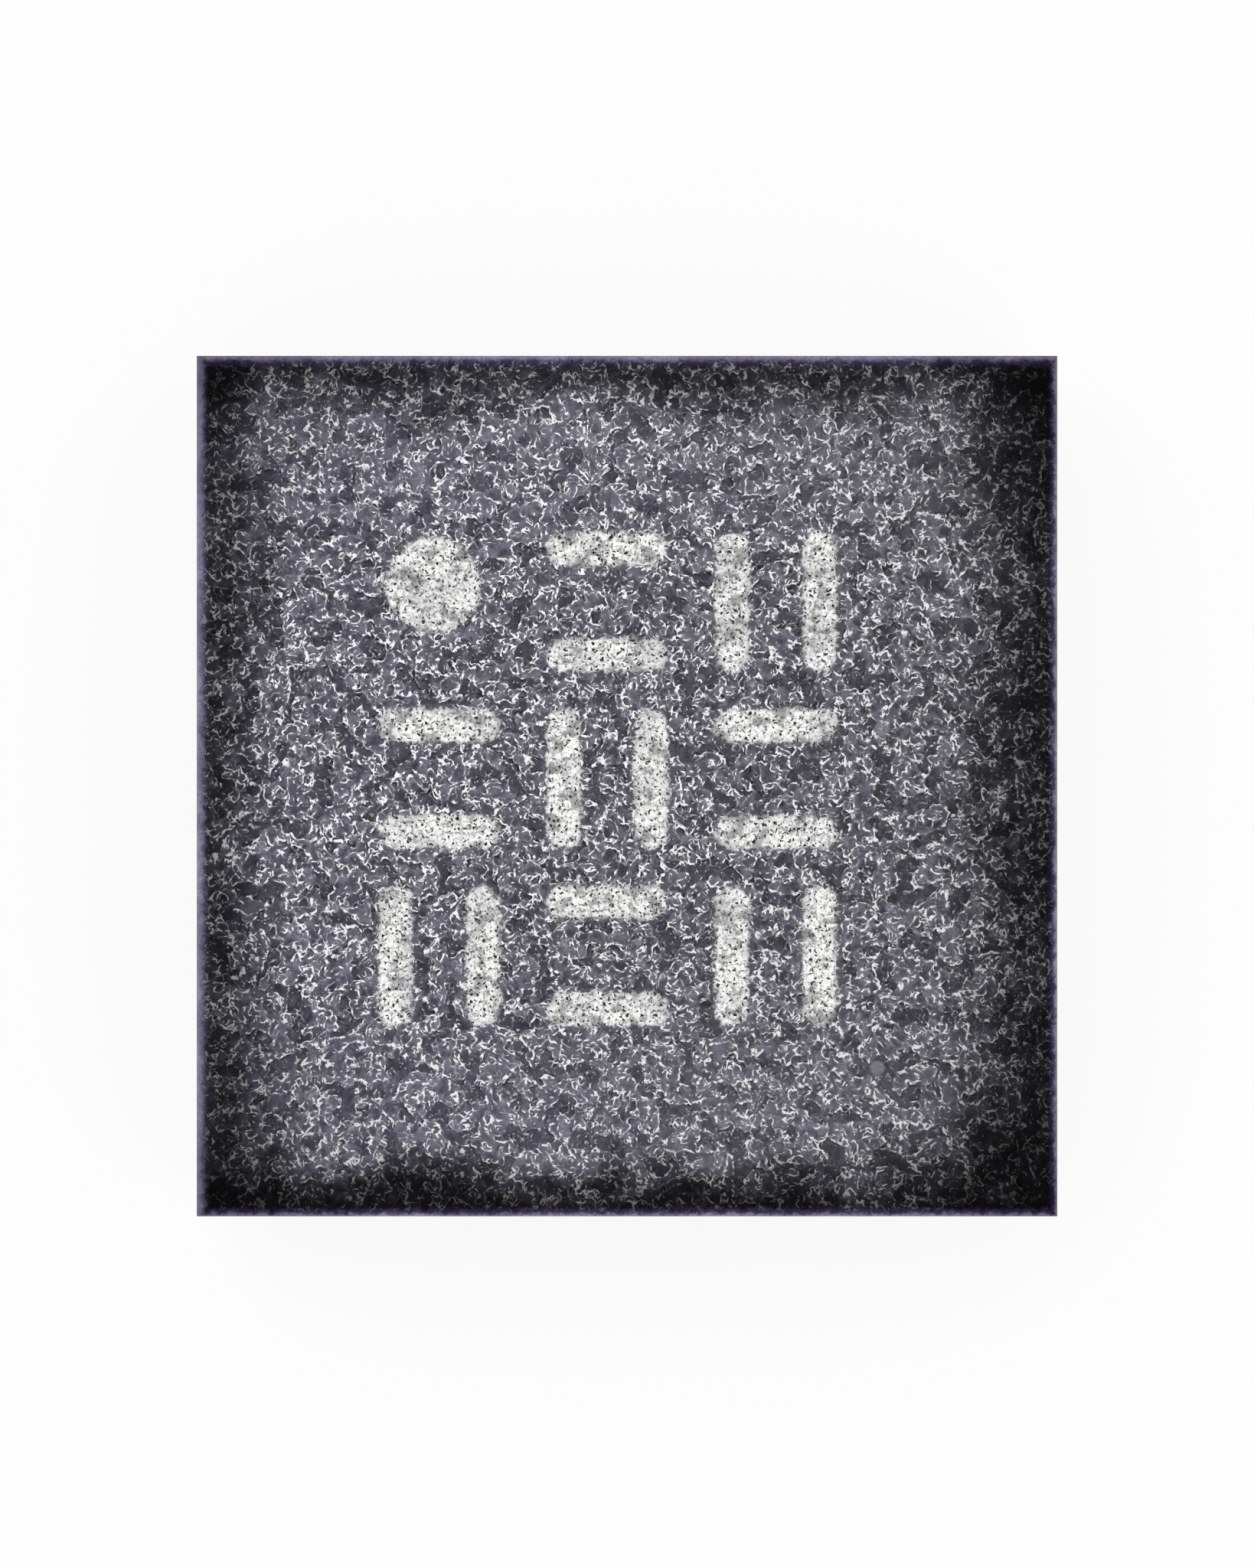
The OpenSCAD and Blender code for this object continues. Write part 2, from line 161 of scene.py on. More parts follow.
class Wiring:
    """Adds nodes to a tree and links them, in a material and in a relief alike."""

    def __init__(self, tree: bpy.types.NodeTree) -> None:
        """Keep the tree that the nodes go into."""
        self.tree = tree

    def node(self, kind: str, **settings: object) -> Node:
        """Add one node.

        Args:
            kind: Blender's name for the node type.
            **settings: Properties of the node.

        Returns:
            The new node.
        """
        made = self.tree.nodes.new(kind)
        for name, value in settings.items():
            setattr(made, name, value)
        return made

    def feed(self, socket: Socket, value: Value) -> None:
        """Link a socket to another one, or set its own value.

        Args:
            socket: The socket that takes the value.
            value: Another node's output, or a plain value.
        """
        if isinstance(value, bpy.types.NodeSocket):
            self.tree.links.new(value, socket)
        else:
            socket.default_value = value

    def worked_out(self, kind: str, operation: str, values: tuple[Value, ...]) -> Socket:
        """Add a node that works a result out.

        Args:
            kind: Blender's name for the node type.
            operation: Blender's name for what it does.
            values: What goes into its sockets, in order.

        Returns:
            The result.
        """
        made = self.node(kind, operation=operation)
        for socket, value in zip(made.inputs, values):
            self.feed(socket, value)
        return made.outputs[0]

    def math(self, operation: str, *values: Value) -> Socket:
        """Return the result of a Math node on these values."""
        return self.worked_out("ShaderNodeMath", operation, values)

    def vector(self, operation: str, *values: Value) -> Socket:
        """Return the vector that a Vector Math node gives for these values."""
        return self.worked_out("ShaderNodeVectorMath", operation, values)

    def product(self, *values: Value) -> Socket:
        """Return the product of these values."""
        return reduce(lambda first, second: self.math("MULTIPLY", first, second), values)

    def remaining(self, value: Value, loss: float) -> Socket:
        """Return what a loss, times a value, leaves of 1."""
        return self.math("MULTIPLY_ADD", value, -loss, 1.0)

    def blend(self, share: Socket, first: Value, second: Value) -> Socket:
        """Return one level blended into another by a share."""
        kept = self.math("MULTIPLY", self.math("SUBTRACT", 1.0, share), first)
        return self.math("ADD", kept, self.math("MULTIPLY", share, second))

    def scaled(self, vector: Value, factor: Value) -> Socket:
        """Scale a vector or a colour.

        Args:
            vector: The vector or colour.
            factor: What it is scaled by.

        Returns:
            The scaled one.
        """
        made = self.node("ShaderNodeVectorMath", operation="SCALE")
        self.feed(made.inputs[0], vector)
        self.feed(made.inputs["Scale"], factor)
        return made.outputs[0]

    def length(self, along: Value, across: Value) -> Socket:
        """Return the length of a vector with these two parts."""
        squares = self.math("ADD", self.product(along, along), self.product(across, across))
        return self.math("SQRT", squares)

    def axes(self, vector: Socket) -> tuple[Socket, Socket, Socket]:
        """Split a vector or a colour.

        Args:
            vector: The vector or colour.

        Returns:
            Its three parts.
        """
        made = self.node("ShaderNodeSeparateXYZ")
        self.feed(made.inputs[0], vector)
        return made.outputs[0], made.outputs[1], made.outputs[2]

    def ramp(self, value: Value, step: Step) -> Socket:
        """Step smoothly from one level to another.

        Args:
            value: What is measured.
            step: Where the step lies, and its levels.

        Returns:
            The level.
        """
        made = self.node("ShaderNodeMapRange", interpolation_type="SMOOTHSTEP")
        for socket, given in zip(made.inputs, (value, *step)):
            self.feed(socket, given)
        return made.outputs[0]

    def noise(self, at: Socket, kind: Noise, flat: bool = True) -> Node:
        """Add a noise texture.

        Args:
            at: Place in millimetres.
            kind: Sizes of the noise.
            flat: Whether only X and Y count.

        Returns:
            The node, with its value as its first output and three values as its second.
        """
        made = self.node("ShaderNodeTexNoise", noise_dimensions="2D" if flat else "3D")
        self.feed(made.inputs["Vector"], at)
        for name, value in (("Scale", 1 / kind.grain), ("Detail", kind.detail), ("Roughness", kind.rough)):
            self.feed(made.inputs[name], value)
        return made

    def level(self, at: Socket, kind: Noise, flat: bool = True) -> Socket:
        """Return the value of a noise from 0 to 1."""
        return self.noise(at, kind, flat).outputs[0]

    def swing(self, at: Socket, kind: Noise) -> Socket:
        """Return the value of a noise about its middle."""
        return self.math("SUBTRACT", self.level(at, kind), NOISE_MIDDLE)

    def wander(self, at: Socket, bend: Bend, flat: bool = True) -> Socket:
        """Push a place about by noise.

        Args:
            at: Place in millimetres.
            bend: Sizes of the push.
            flat: Whether only X and Y count.

        Returns:
            The new place.
        """
        push = self.noise(at, Noise(bend.grain), flat).outputs[1]
        push = self.vector("SUBTRACT", push, (NOISE_MIDDLE,) * 3)
        return self.vector("ADD", at, self.scaled(push, 2 * bend.reach))

    def cells(self, at: Socket, size: float, feature: str = "F1", flat: bool = True) -> Node:
        """Add a cell texture.

        Args:
            at: Place in millimetres.
            size: Size of a cell in millimetres.
            feature: Blender's name for what is measured in a cell.
            flat: Whether only X and Y count.

        Returns:
            The node.
        """
        made = self.node("ShaderNodeTexVoronoi", voronoi_dimensions="2D" if flat else "3D", feature=feature)
        self.feed(made.inputs["Vector"], at)
        self.feed(made.inputs["Scale"], 1 / size)
        return made

    def spots(self, at: Socket, kind: Spots, flat: bool = True) -> tuple[Socket, Socket]:
        """Scatter round spots.

        Args:
            at: Place in millimetres.
            kind: Sizes of the spots.
            flat: Whether only X and Y count.

        Returns:
            A level that is 1 on a spot, and the spot's own shine from 0 to 1.
        """
        cells = self.cells(at, kind.cell, flat=flat)
        parts = self.axes(cells.outputs["Color"])
        chance, shine = parts[:2]
        reach = self.math("MULTIPLY_ADD", parts[kind.size_part], kind.growth, kind.least)
        disc = self.ramp(self.math("SUBTRACT", cells.outputs["Distance"], reach), kind.edge)
        return self.product(disc, self.math("LESS_THAN", chance, kind.share)), shine

    def mix(self, share: Value, first: Value, second: Value) -> Socket:
        """Blend one colour into another.

        Args:
            share: Share of the second colour.
            first: The first colour.
            second: The second colour.

        Returns:
            The blend.
        """
        made = self.node("ShaderNodeMix", data_type="RGBA")
        for index, value in zip(MIX_SOCKETS, (share, first, second)):
            self.feed(made.inputs[index], value)
        return made.outputs[MIX_RESULT]

    def seen(self, *rays: str) -> Socket:
        """Tell rays of some kinds from others.

        Args:
            *rays: Blender's names for the kinds.

        Returns:
            1 for rays of these kinds, and 0 for others.
        """
        path = self.node("ShaderNodeLightPath")
        kinds = [path.outputs[ray] for ray in rays]
        return reduce(lambda first, second: self.math("MAXIMUM", first, second), kinds)


class Dressing(Wiring):
    """Wiring of one material, with its surface shader at hand."""

    def __init__(self, name: str, specular: float, metallic: float = 0.0) -> None:
        """Start a material.

        Args:
            name: Name of the material.
            specular: Level of its gloss.
            metallic: 1 for metal.
        """
        self.material = bpy.data.materials.new(name)
        self.material.use_nodes = True
        super().__init__(self.material.node_tree)
        self.surface = self.tree.nodes["Principled BSDF"]
        self.surface.inputs["Specular IOR Level"].default_value = specular
        self.surface.inputs["Metallic"].default_value = metallic

    def place(self) -> Socket:
        """Return the place on the piece in millimetres."""
        return self.scaled(self.node("ShaderNodeTexCoord").outputs["Object"], 1 / MM)

    def unrolled(self) -> Socket:
        """Unroll the four sides of the chip.

        Returns:
            The place on them in millimetres: X runs round the chip, and Y is the height.
        """
        x, y, z = self.axes(self.place())
        made = self.node("ShaderNodeCombineXYZ")
        self.feed(made.inputs[0], self.math("ADD", x, y))
        self.feed(made.inputs[1], z)
        return made.outputs[0]

    def drawn_out(self, at: Socket, stretch: float) -> Socket:
        """Return a place whose X counts only by a share, which draws a pattern out along X."""
        return self.vector("MULTIPLY", at, (stretch, 1.0, 1.0))

    def bump(self, height: Socket, depth: float) -> None:
        """Give the surface a bump.

        Args:
            height: Height from 0 to 1.
            depth: What a height of 1 is, in metres.
        """
        made = self.node("ShaderNodeBump")
        self.feed(made.inputs["Height"], height)
        self.feed(made.inputs["Distance"], depth)
        self.feed(self.surface.inputs["Normal"], made.outputs[0])

    def finish(self, colour: Value, roughness: Value) -> Material:
        """Give the surface its colour and roughness.

        Args:
            colour: The colour.
            roughness: The roughness from 0 to 1.

        Returns:
            The finished material.
        """
        self.feed(self.surface.inputs["Base Color"], colour)
        self.feed(self.surface.inputs["Roughness"], roughness)
        return self.material


@dataclass(frozen=True)
class LaserMarks:
    """Plain laser strokes in three rows and columns, with a round dot in the first cell. In millimetres."""

    stroke: float = 0.115
    width: float = 0.42
    height: float = 0.486
    column_pitch: float = 0.587
    row_pitch: float = 0.617
    last_cell: float = 1.0
    shift_left: float = 0.068
    shift_up: float = 0.025
    dot_diameter: float = 0.33
    dot_rise: float = 0.06
    dot_shift_left: float = 0.02
    depth: float = 0.015
    ragged: float = 0.036
    burr: Noise = Noise(0.032, 5.0, 0.75)

    def pair(self, wiring: Wiring, along: Socket, across: Socket, length: float, breadth: float) -> Socket:
        """Measure the distance to two round-ended strokes.

        Args:
            wiring: Where the nodes go.
            along: Place along the strokes from the middle of the cell.
            across: Place across them.
            length: Length of each stroke.
            breadth: Distance over both.

        Returns:
            The distance, which is negative inside a stroke.
        """
        reach = (length - self.stroke) / 2
        past = wiring.math("MAXIMUM", wiring.math("SUBTRACT", wiring.math("ABSOLUTE", along), reach), 0.0)
        off = wiring.math("SUBTRACT", wiring.math("ABSOLUTE", across), (breadth - self.stroke) / 2)
        return wiring.math("SUBTRACT", wiring.length(past, off), self.stroke / 2)

    def cell(self, wiring: Wiring, place: Socket, pitch: float) -> tuple[Socket, Socket]:
        """Find the row or column of marks that is nearest to a place.

        Args:
            wiring: Where the nodes go.
            place: Place from the middle row or column.
            pitch: Distance between two of them.

        Returns:
            The place from the nearest one, and that one's number from the middle.
        """
        number = wiring.math("ROUND", wiring.math("DIVIDE", place, pitch))
        number = wiring.math("MINIMUM", wiring.math("MAXIMUM", number, -self.last_cell), self.last_cell)
        return wiring.math("SUBTRACT", place, wiring.product(number, pitch)), number

    def distance(self, wiring: Wiring, at: Socket) -> Socket:
        """Measure the distance to the marks.

        Args:
            wiring: Where the nodes go.
            at: Place on the top face in millimetres.

        Returns:
            The distance in millimetres, which is negative inside a mark.
        """
        x, y, _ = wiring.axes(at)
        across, column = self.cell(wiring, wiring.math("ADD", x, self.shift_left), self.column_pitch)
        up, row = self.cell(wiring, wiring.math("ADD", y, -self.shift_up), self.row_pitch)
        level = self.pair(wiring, across, up, self.width, self.height)
        upright = self.pair(wiring, up, across, self.height, self.width)
        odd = wiring.math("MODULO", wiring.math("ABSOLUTE", wiring.math("ADD", column, row)), 2.0)
        strokes = wiring.blend(odd, upright, level)
        from_dot = wiring.length(wiring.math("ADD", across, self.dot_shift_left),
                                 wiring.math("SUBTRACT", up, self.dot_rise))
        dot = wiring.math("SUBTRACT", from_dot, self.dot_diameter / 2)
        at_dot = wiring.product(wiring.math("LESS_THAN", column, -self.last_cell / 2),
                                wiring.math("GREATER_THAN", row, self.last_cell / 2))
        clean = wiring.blend(at_dot, strokes, dot)
        return wiring.math("ADD", clean, wiring.product(wiring.swing(at, self.burr), 2 * self.ragged))


@dataclass(frozen=True)
class Curl:
    """One set of short bright curls of painted glint, along the contour lines of a noise with gaps in them.
    In millimetres.

    The fields are the size of the noise's features, the level of the contour, the half width of a line, the
    level of the gap noise up to which a line is whole, the shift of both noises, and the finer layers.
    """

    grain: float
    level: float
    line: float
    kept: float
    shift: float
    detail: float = 1.0


class GrainAndGlintLevels(NamedTuple):
    """Levels of the grain and its painted light from 0 to 1.

    Flat is high on a dark patch, glint on the painted glints of the bright curls and soft on blurred ones.
    The glow level is high on the painted glow near them and on soft clouds of tone, the shadow level on the
    painted shadow along their sides, and bead on a filler bead.
    """

    flat: Socket
    glint: Socket
    soft: Socket
    haze_and_glow: Socket
    painted_shadow: Socket
    bead: Socket


@dataclass(frozen=True)
class GrainAndGlints:
    """Grain of the rough top face: dark patches, with painted glints as short bright curls between them and
    painted shadow beside the brightest. In millimetres.
    """

    bend: Bend = Bend(0.06, 0.012)
    twist: Bend = Bend(0.02, 0.003)
    patch: Noise = Noise(0.085)
    patch_edge: Step = Step(0.51, 0.61)
    patch_loss: float = 0.9
    curls: tuple[Curl, ...] = (Curl(0.085, 0.53, 0.0034, 0.52, 0.0, 2.0), Curl(0.065, 0.5, 0.0034, 0.5, 3.0),
                               Curl(0.045, 0.5, 0.0034, 0.49, 8.0), Curl(0.03, 0.5, 0.0031, 0.42, 5.0))
    probe: float = 0.1
    least_slope: float = 0.015
    gap: Noise = Noise(0.046, 1.0)
    gap_shift: float = 1.0
    gap_depth: float = 0.1
    core: float = 0.1
    blur: float = 2.4
    glow: float = 0.02
    glow_level: float = 0.26
    # Painted shadow along the side of the curls: how far beside them it lies, and its outer and inner edges.
    beside: float = 0.0072
    painted_shadow_outer: float = 1.1
    painted_shadow_inner: float = 0.2
    # Width and brightness of the painted glints, which swell and dim along the curls.
    swell: Noise = Noise(0.034, 1.0)
    swell_width: Step = Step(0.38, 0.66, 0.8, 1.22)
    swell_gain: Step = Step(0.37, 0.64, 0.16, 2.15)
    swell_painted_shadow: Step = Step(0.42, 0.58, 0.2, 1.0)
    glitter: Noise = Noise(0.015, 1.0)
    glitter_width: Step = Step(0.5, 0.68, 0.92, 1.25)
    glitter_gain: Step = Step(0.4, 0.62, 0.32, 2.9)
    glitter_blur: Step = Step(0.42, 0.66, 0.3, 2.2)
    speck: Spots = Spots(0.016, 0.0, 0.2, Step(0.06, -0.1), 0.36)
    dimmest: float = 0.4
    fuzz: Noise = Noise(0.05, 4.0, 0.6)
    fuzz_level: Step = Step(0.38, 0.68, 0.0, 0.36)
    veil_loss: float = 0.7
    bead: Spots = Spots(0.42, 0.0325, 0.0325, Step(0.012, -0.012), 0.22)

    def contour(self, wiring: Wiring, at: Socket, kind: Curl) -> Socket:
        """Measure the distance from the contour lines of a noise.

        Args:
            wiring: Where the nodes go.
            at: Place on the top face in millimetres.
            kind: Sizes of the curls along the lines.

        Returns:
            The distance in millimetres, which is negative on the low side of a line.
        """
        step = self.probe * kind.grain
        noise = Noise(kind.grain, kind.detail)
        pushes = ((0.0, 0.0, 0.0), (step, 0.0, 0.0), (0.0, step, 0.0))
        here, east, north = (wiring.level(wiring.vector("ADD", at, push), noise) for push in pushes)
        slope = wiring.length(wiring.math("SUBTRACT", east, here), wiring.math("SUBTRACT", north, here))
        rise = wiring.math("SUBTRACT", here, kind.level)
        off = wiring.math("DIVIDE", rise, wiring.math("MAXIMUM", slope, self.least_slope))
        return wiring.product(off, step)

    def curl(self, wiring: Wiring, at: Socket, kind: Curl) -> tuple[Socket, Socket]:
        """Measure the distance from one set of curls.

        Args:
            wiring: Where the nodes go.
            at: Bent place on the top face in millimetres.
            kind: Sizes of the curls.

        Returns:
            The distances in millimetres from the curls and from the line of painted shadow beside each.
        """
        moved = wiring.vector("ADD", at, (kind.shift, -kind.shift, 0.0))
        aside = wiring.vector("ADD", at, (kind.shift + self.gap_shift, kind.shift, 0.0))
        gap = wiring.math("SUBTRACT", wiring.level(aside, self.gap), kind.kept)
        gap = wiring.product(wiring.math("MAXIMUM", gap, 0.0), self.gap_depth)
        off = self.contour(wiring, moved, kind)
        near = wiring.math("ABSOLUTE", wiring.math("SUBTRACT", off, self.beside))
        return wiring.math("ADD", wiring.math("ABSOLUTE", off), gap), wiring.math("ADD", near, gap)

    def glint_specks(self, wiring: Wiring, at: Socket) -> Socket:
        """Return the brightness of small scattered bright points of painted glint, from 0 to 1."""
        spot, shine = wiring.spots(at, self.speck)
        return wiring.product(spot, wiring.math("MULTIPLY_ADD", shine, 1 - self.dimmest, self.dimmest))

    def levels(self, wiring: Wiring, at: Socket) -> GrainAndGlintLevels:
        """Lay the grain and its painted light out.

        Args:
            wiring: Where the nodes go.
            at: Place on the top face in millimetres.

        Returns:
            The levels of the grain and its painted light.
        """
        bent = wiring.wander(wiring.wander(at, self.bend), self.twist)
        flat = wiring.ramp(wiring.level(bent, self.patch), self.patch_edge)
        swell = wiring.level(at, self.swell)
        glitter = wiring.level(at, self.glitter)
        width = wiring.product(wiring.ramp(swell, self.swell_width), wiring.ramp(glitter, self.glitter_width))
        line: Value = 0.0
        soft: Value = 0.0
        haze_and_glow: Value = 0.0
        painted_shadow: Value = 0.0
        # Each set of curls adds painted glint, blurred painted glint, painted glow near it and painted shadow
        # beside it.
        for kind in self.curls:
            off, near = self.curl(wiring, bent, kind)
            core = Step(kind.line, self.core * kind.line)
            side = Step(self.painted_shadow_outer * kind.line, self.painted_shadow_inner * kind.line)
            line = wiring.math("MAXIMUM", line, wiring.ramp(wiring.math("DIVIDE", off, width), core))
            soft = wiring.math("MAXIMUM", soft, wiring.ramp(off, Step(self.blur * kind.line, 0.0)))
            haze_and_glow = wiring.math("MAXIMUM", haze_and_glow, wiring.ramp(off, Step(self.glow, 0.0)))
            painted_shadow = wiring.math("MAXIMUM", painted_shadow, wiring.ramp(near, side))
        # Painted shadow shows only beside the brightest curls.
        painted_shadow = wiring.product(painted_shadow, wiring.ramp(swell, self.swell_painted_shadow))
        # The painted glints brighten and dim along the curls and fade on the dark patches; bright points join
        # them.
        gain = wiring.product(wiring.ramp(swell, self.swell_gain), wiring.remaining(flat, self.patch_loss))
        line = wiring.product(gain, wiring.ramp(glitter, self.glitter_gain), line)
        soft = wiring.product(gain, wiring.ramp(glitter, self.glitter_blur), soft)
        glint = wiring.math("MAXIMUM", line, self.glint_specks(wiring, bent))
        # Soft clouds of tone add to the painted glow.
        fuzz = wiring.ramp(wiring.level(at, self.fuzz), self.fuzz_level)
        haze_and_glow = wiring.math("MULTIPLY_ADD", haze_and_glow, self.glow_level, fuzz)
        return GrainAndGlintLevels(flat, wiring.math("MINIMUM", glint, 1.0), wiring.math("MINIMUM", soft, 1.0),
                           wiring.product(haze_and_glow, wiring.remaining(flat, self.veil_loss)), painted_shadow,
                           wiring.spots(at, self.bead)[0])


@dataclass(frozen=True)
class EdgeBand:
    """Band of painted shade along one edge of the top face.

    The fields are its tone, where it starts and ends, and how far its pale and violet rims reach in.
    """

    tone: float
    start: float
    end: float
    rim: float
    violet: float


@dataclass(frozen=True)
class EdgeShade:
    """Dark bands and violet rims along the edges of the top face. In millimetres."""

    half: float
    left: EdgeBand = EdgeBand(0.44, 0.04, 0.34, 0.037, 0.052)
    right: EdgeBand = EdgeBand(0.32, 0.03, 0.46, 0.018, 0.033)
    lower: EdgeBand = EdgeBand(0.22, 0.02, 0.28, 0.017, 0.036)
    upper: EdgeBand = EdgeBand(0.43, 0.05, 0.26, 0.026, 0.046)
    tone_power: float = 2.2
    bend: Bend = Bend(0.24, 0.08)
    ripple: Noise = Noise(0.11, 3.0, 0.6)
    ripple_reach: float = 0.15
    wave: Noise = Noise(0.45, 1.0)
    wave_reach: float = 0.26
    corner: float = 0.75
    corner_tone: float = 0.46
    violet: Colour = paint(66, 56, 98)
    violet_full: float = 0.008
    violet_level: float = 0.92
    lavender: Colour = paint(150, 146, 168)
    lavender_level: float = 0.95
    fray: Noise = Noise(0.03, 4.0, 0.7)
    fray_reach: float = 0.036
    fade: Noise = Noise(0.22, 2.0, 0.6)
    fade_level: Step = Step(0.35, 0.6, 0.68, 1.0)
    corner_fade: float = 0.45

    def reaches(self, dress: Dressing, at: Socket) -> list[tuple[EdgeBand, Socket]]:
        """Measure the distance in from each edge.

        Args:
            dress: The material.
            at: Place on the top face.

        Returns:
            Each edge's band with the distance from that edge.
        """
        x, y, _ = dress.axes(at)
        from_left, from_lower = (dress.math("ADD", side, self.half) for side in (x, y))
        from_right, from_upper = (dress.math("SUBTRACT", self.half, side) for side in (x, y))
        return [(self.left, from_left), (self.right, from_right),
                (self.lower, from_lower), (self.upper, from_upper)]

    def in_corner(self, dress: Dressing, at: Socket) -> Socket:
        """Measure how far into a corner a place lies.

        Args:
            dress: The material.
            at: Place on the top face.

        Returns:
            A level that rises from 0 to 1 into each corner.
        """
        x, y, _ = dress.axes(at)
        inner = self.half - self.corner
        beyond = [dress.math("SUBTRACT", dress.math("ABSOLUTE", side), inner) for side in (x, y)]
        past = [dress.math("MAXIMUM", side, 0.0) for side in beyond]
        return dress.math("DIVIDE", dress.product(*past), self.corner ** 2)

    def tone(self, dress: Dressing, at: Socket) -> Socket:
        """Darken the bands along the edges.

        Args:
            dress: The material.
            at: Place on the top face.

        Returns:
            The level of light on the face, from 0 to 1.
        """
        bent = dress.wander(at, self.bend)
        ripple = dress.product(dress.swing(bent, self.ripple), self.ripple_reach)
        wave = dress.math("MULTIPLY_ADD", dress.swing(bent, self.wave), self.wave_reach, ripple)
        tone: Value = 1.0
        for band, reach in self.reaches(dress, at):
            uneven = dress.math("ADD", wave, reach)
            tone = dress.product(tone, dress.ramp(uneven, Step(band.start, band.end, band.tone, 1.0)))
        corner = dress.remaining(self.in_corner(dress, at), self.corner_tone)
        return dress.math("POWER", dress.product(tone, corner), self.tone_power)

    def rim(self, dress: Dressing, at: Socket, colour: Socket) -> Socket:
        """Lay the violet rim of the very edge over a colour.

        Args:
            dress: The material.
            at: Place on the top face.
            colour: The colour without the rim.

        Returns:
            The colour with it.
        """
        fray = dress.swing(at, self.fray)
        violet: Value = 0.0
        lavender: Value = 0.0
        for band, reach in self.reaches(dress, at):
            uneven = dress.math("MULTIPLY_ADD", fray, self.fray_reach, reach)
            inner = dress.ramp(uneven, Step(band.violet, self.violet_full, 0.0, self.violet_level))
            outer = dress.ramp(uneven, Step(band.rim, 0.0, 0.0, self.lavender_level))
            violet = dress.math("MAXIMUM", violet, inner)
            lavender = dress.math("MAXIMUM", lavender, outer)
        faded = dress.ramp(dress.level(at, self.fade), self.fade_level)
        faded = dress.product(faded, dress.remaining(self.in_corner(dress, at), self.corner_fade))
        colour = dress.mix(dress.product(violet, faded), colour, self.violet)
        return dress.mix(dress.product(lavender, faded), colour, self.lavender)


@dataclass(frozen=True)
class BareMark:
    """Finish of the laser marks: white flakes with grey seams and small dark pits. In millimetres."""

    white: Colour = paint(252, 252, 250)
    grey: Colour = paint(118, 120, 120)
    black: Colour = paint(40, 40, 42)
    flake: float = 0.016
    flake_bend: Bend = Bend(0.018, 0.012)
    seam: Step = Step(0.42, 0.7, 0.0, 0.65)
    dim: Step = Step(0.72, 1.0, 0.0, 0.7)
    edge_level: float = 0.35
    mottle: Noise = Noise(0.07, 3.0, 0.6)
    mottle_level: Step = Step(0.5, 0.66, 0.0, 0.72)
    grit: Noise = Noise(0.01, 2.0, 0.7)
    grit_level: Step = Step(0.4, 0.64, 0.35, 1.35)
    pit: Spots = Spots(0.0185, 0.13, 0.12, Step(0.05, -0.03), 0.85, 1)
    speck: Noise = Noise(0.008, 2.0, 0.6)
    speck_tone: Step = Step(0.3, 0.62, 0.74, 1.16)

    def colour(self, dress: Dressing, at: Socket, distance: Socket) -> Socket:
        """Draw the bare mould that the laser has left.

        Args:
            dress: The material.
            at: Place on the top face in millimetres.
            distance: Distance to the marks, negative inside one.

        Returns:
            The colour.
        """
        bent = dress.wander(at, self.flake_bend)
        flakes = dress.cells(bent, self.flake)
        dim, _, _ = dress.axes(flakes.outputs["Color"])
        seam = dress.ramp(flakes.outputs["Distance"], self.seam)
        dull = dress.math("MAXIMUM", seam, dress.ramp(dim, self.dim))
        grit = dress.ramp(dress.level(at, self.grit), self.grit_level)
        edge = dress.ramp(distance, Step(-self.flake, 0.0, 1.0, self.edge_level))
        dull = dress.math("MINIMUM", dress.product(dull, grit, edge), 1.0)
        mottle = dress.ramp(dress.level(at, self.mottle), self.mottle_level)
        colour = dress.mix(mottle, dress.mix(dull, self.white, self.grey), self.grey)
        speck = dress.ramp(dress.level(at, self.speck), self.speck_tone)
        return dress.mix(dress.spots(bent, self.pit)[0], dress.scaled(colour, speck), self.black)


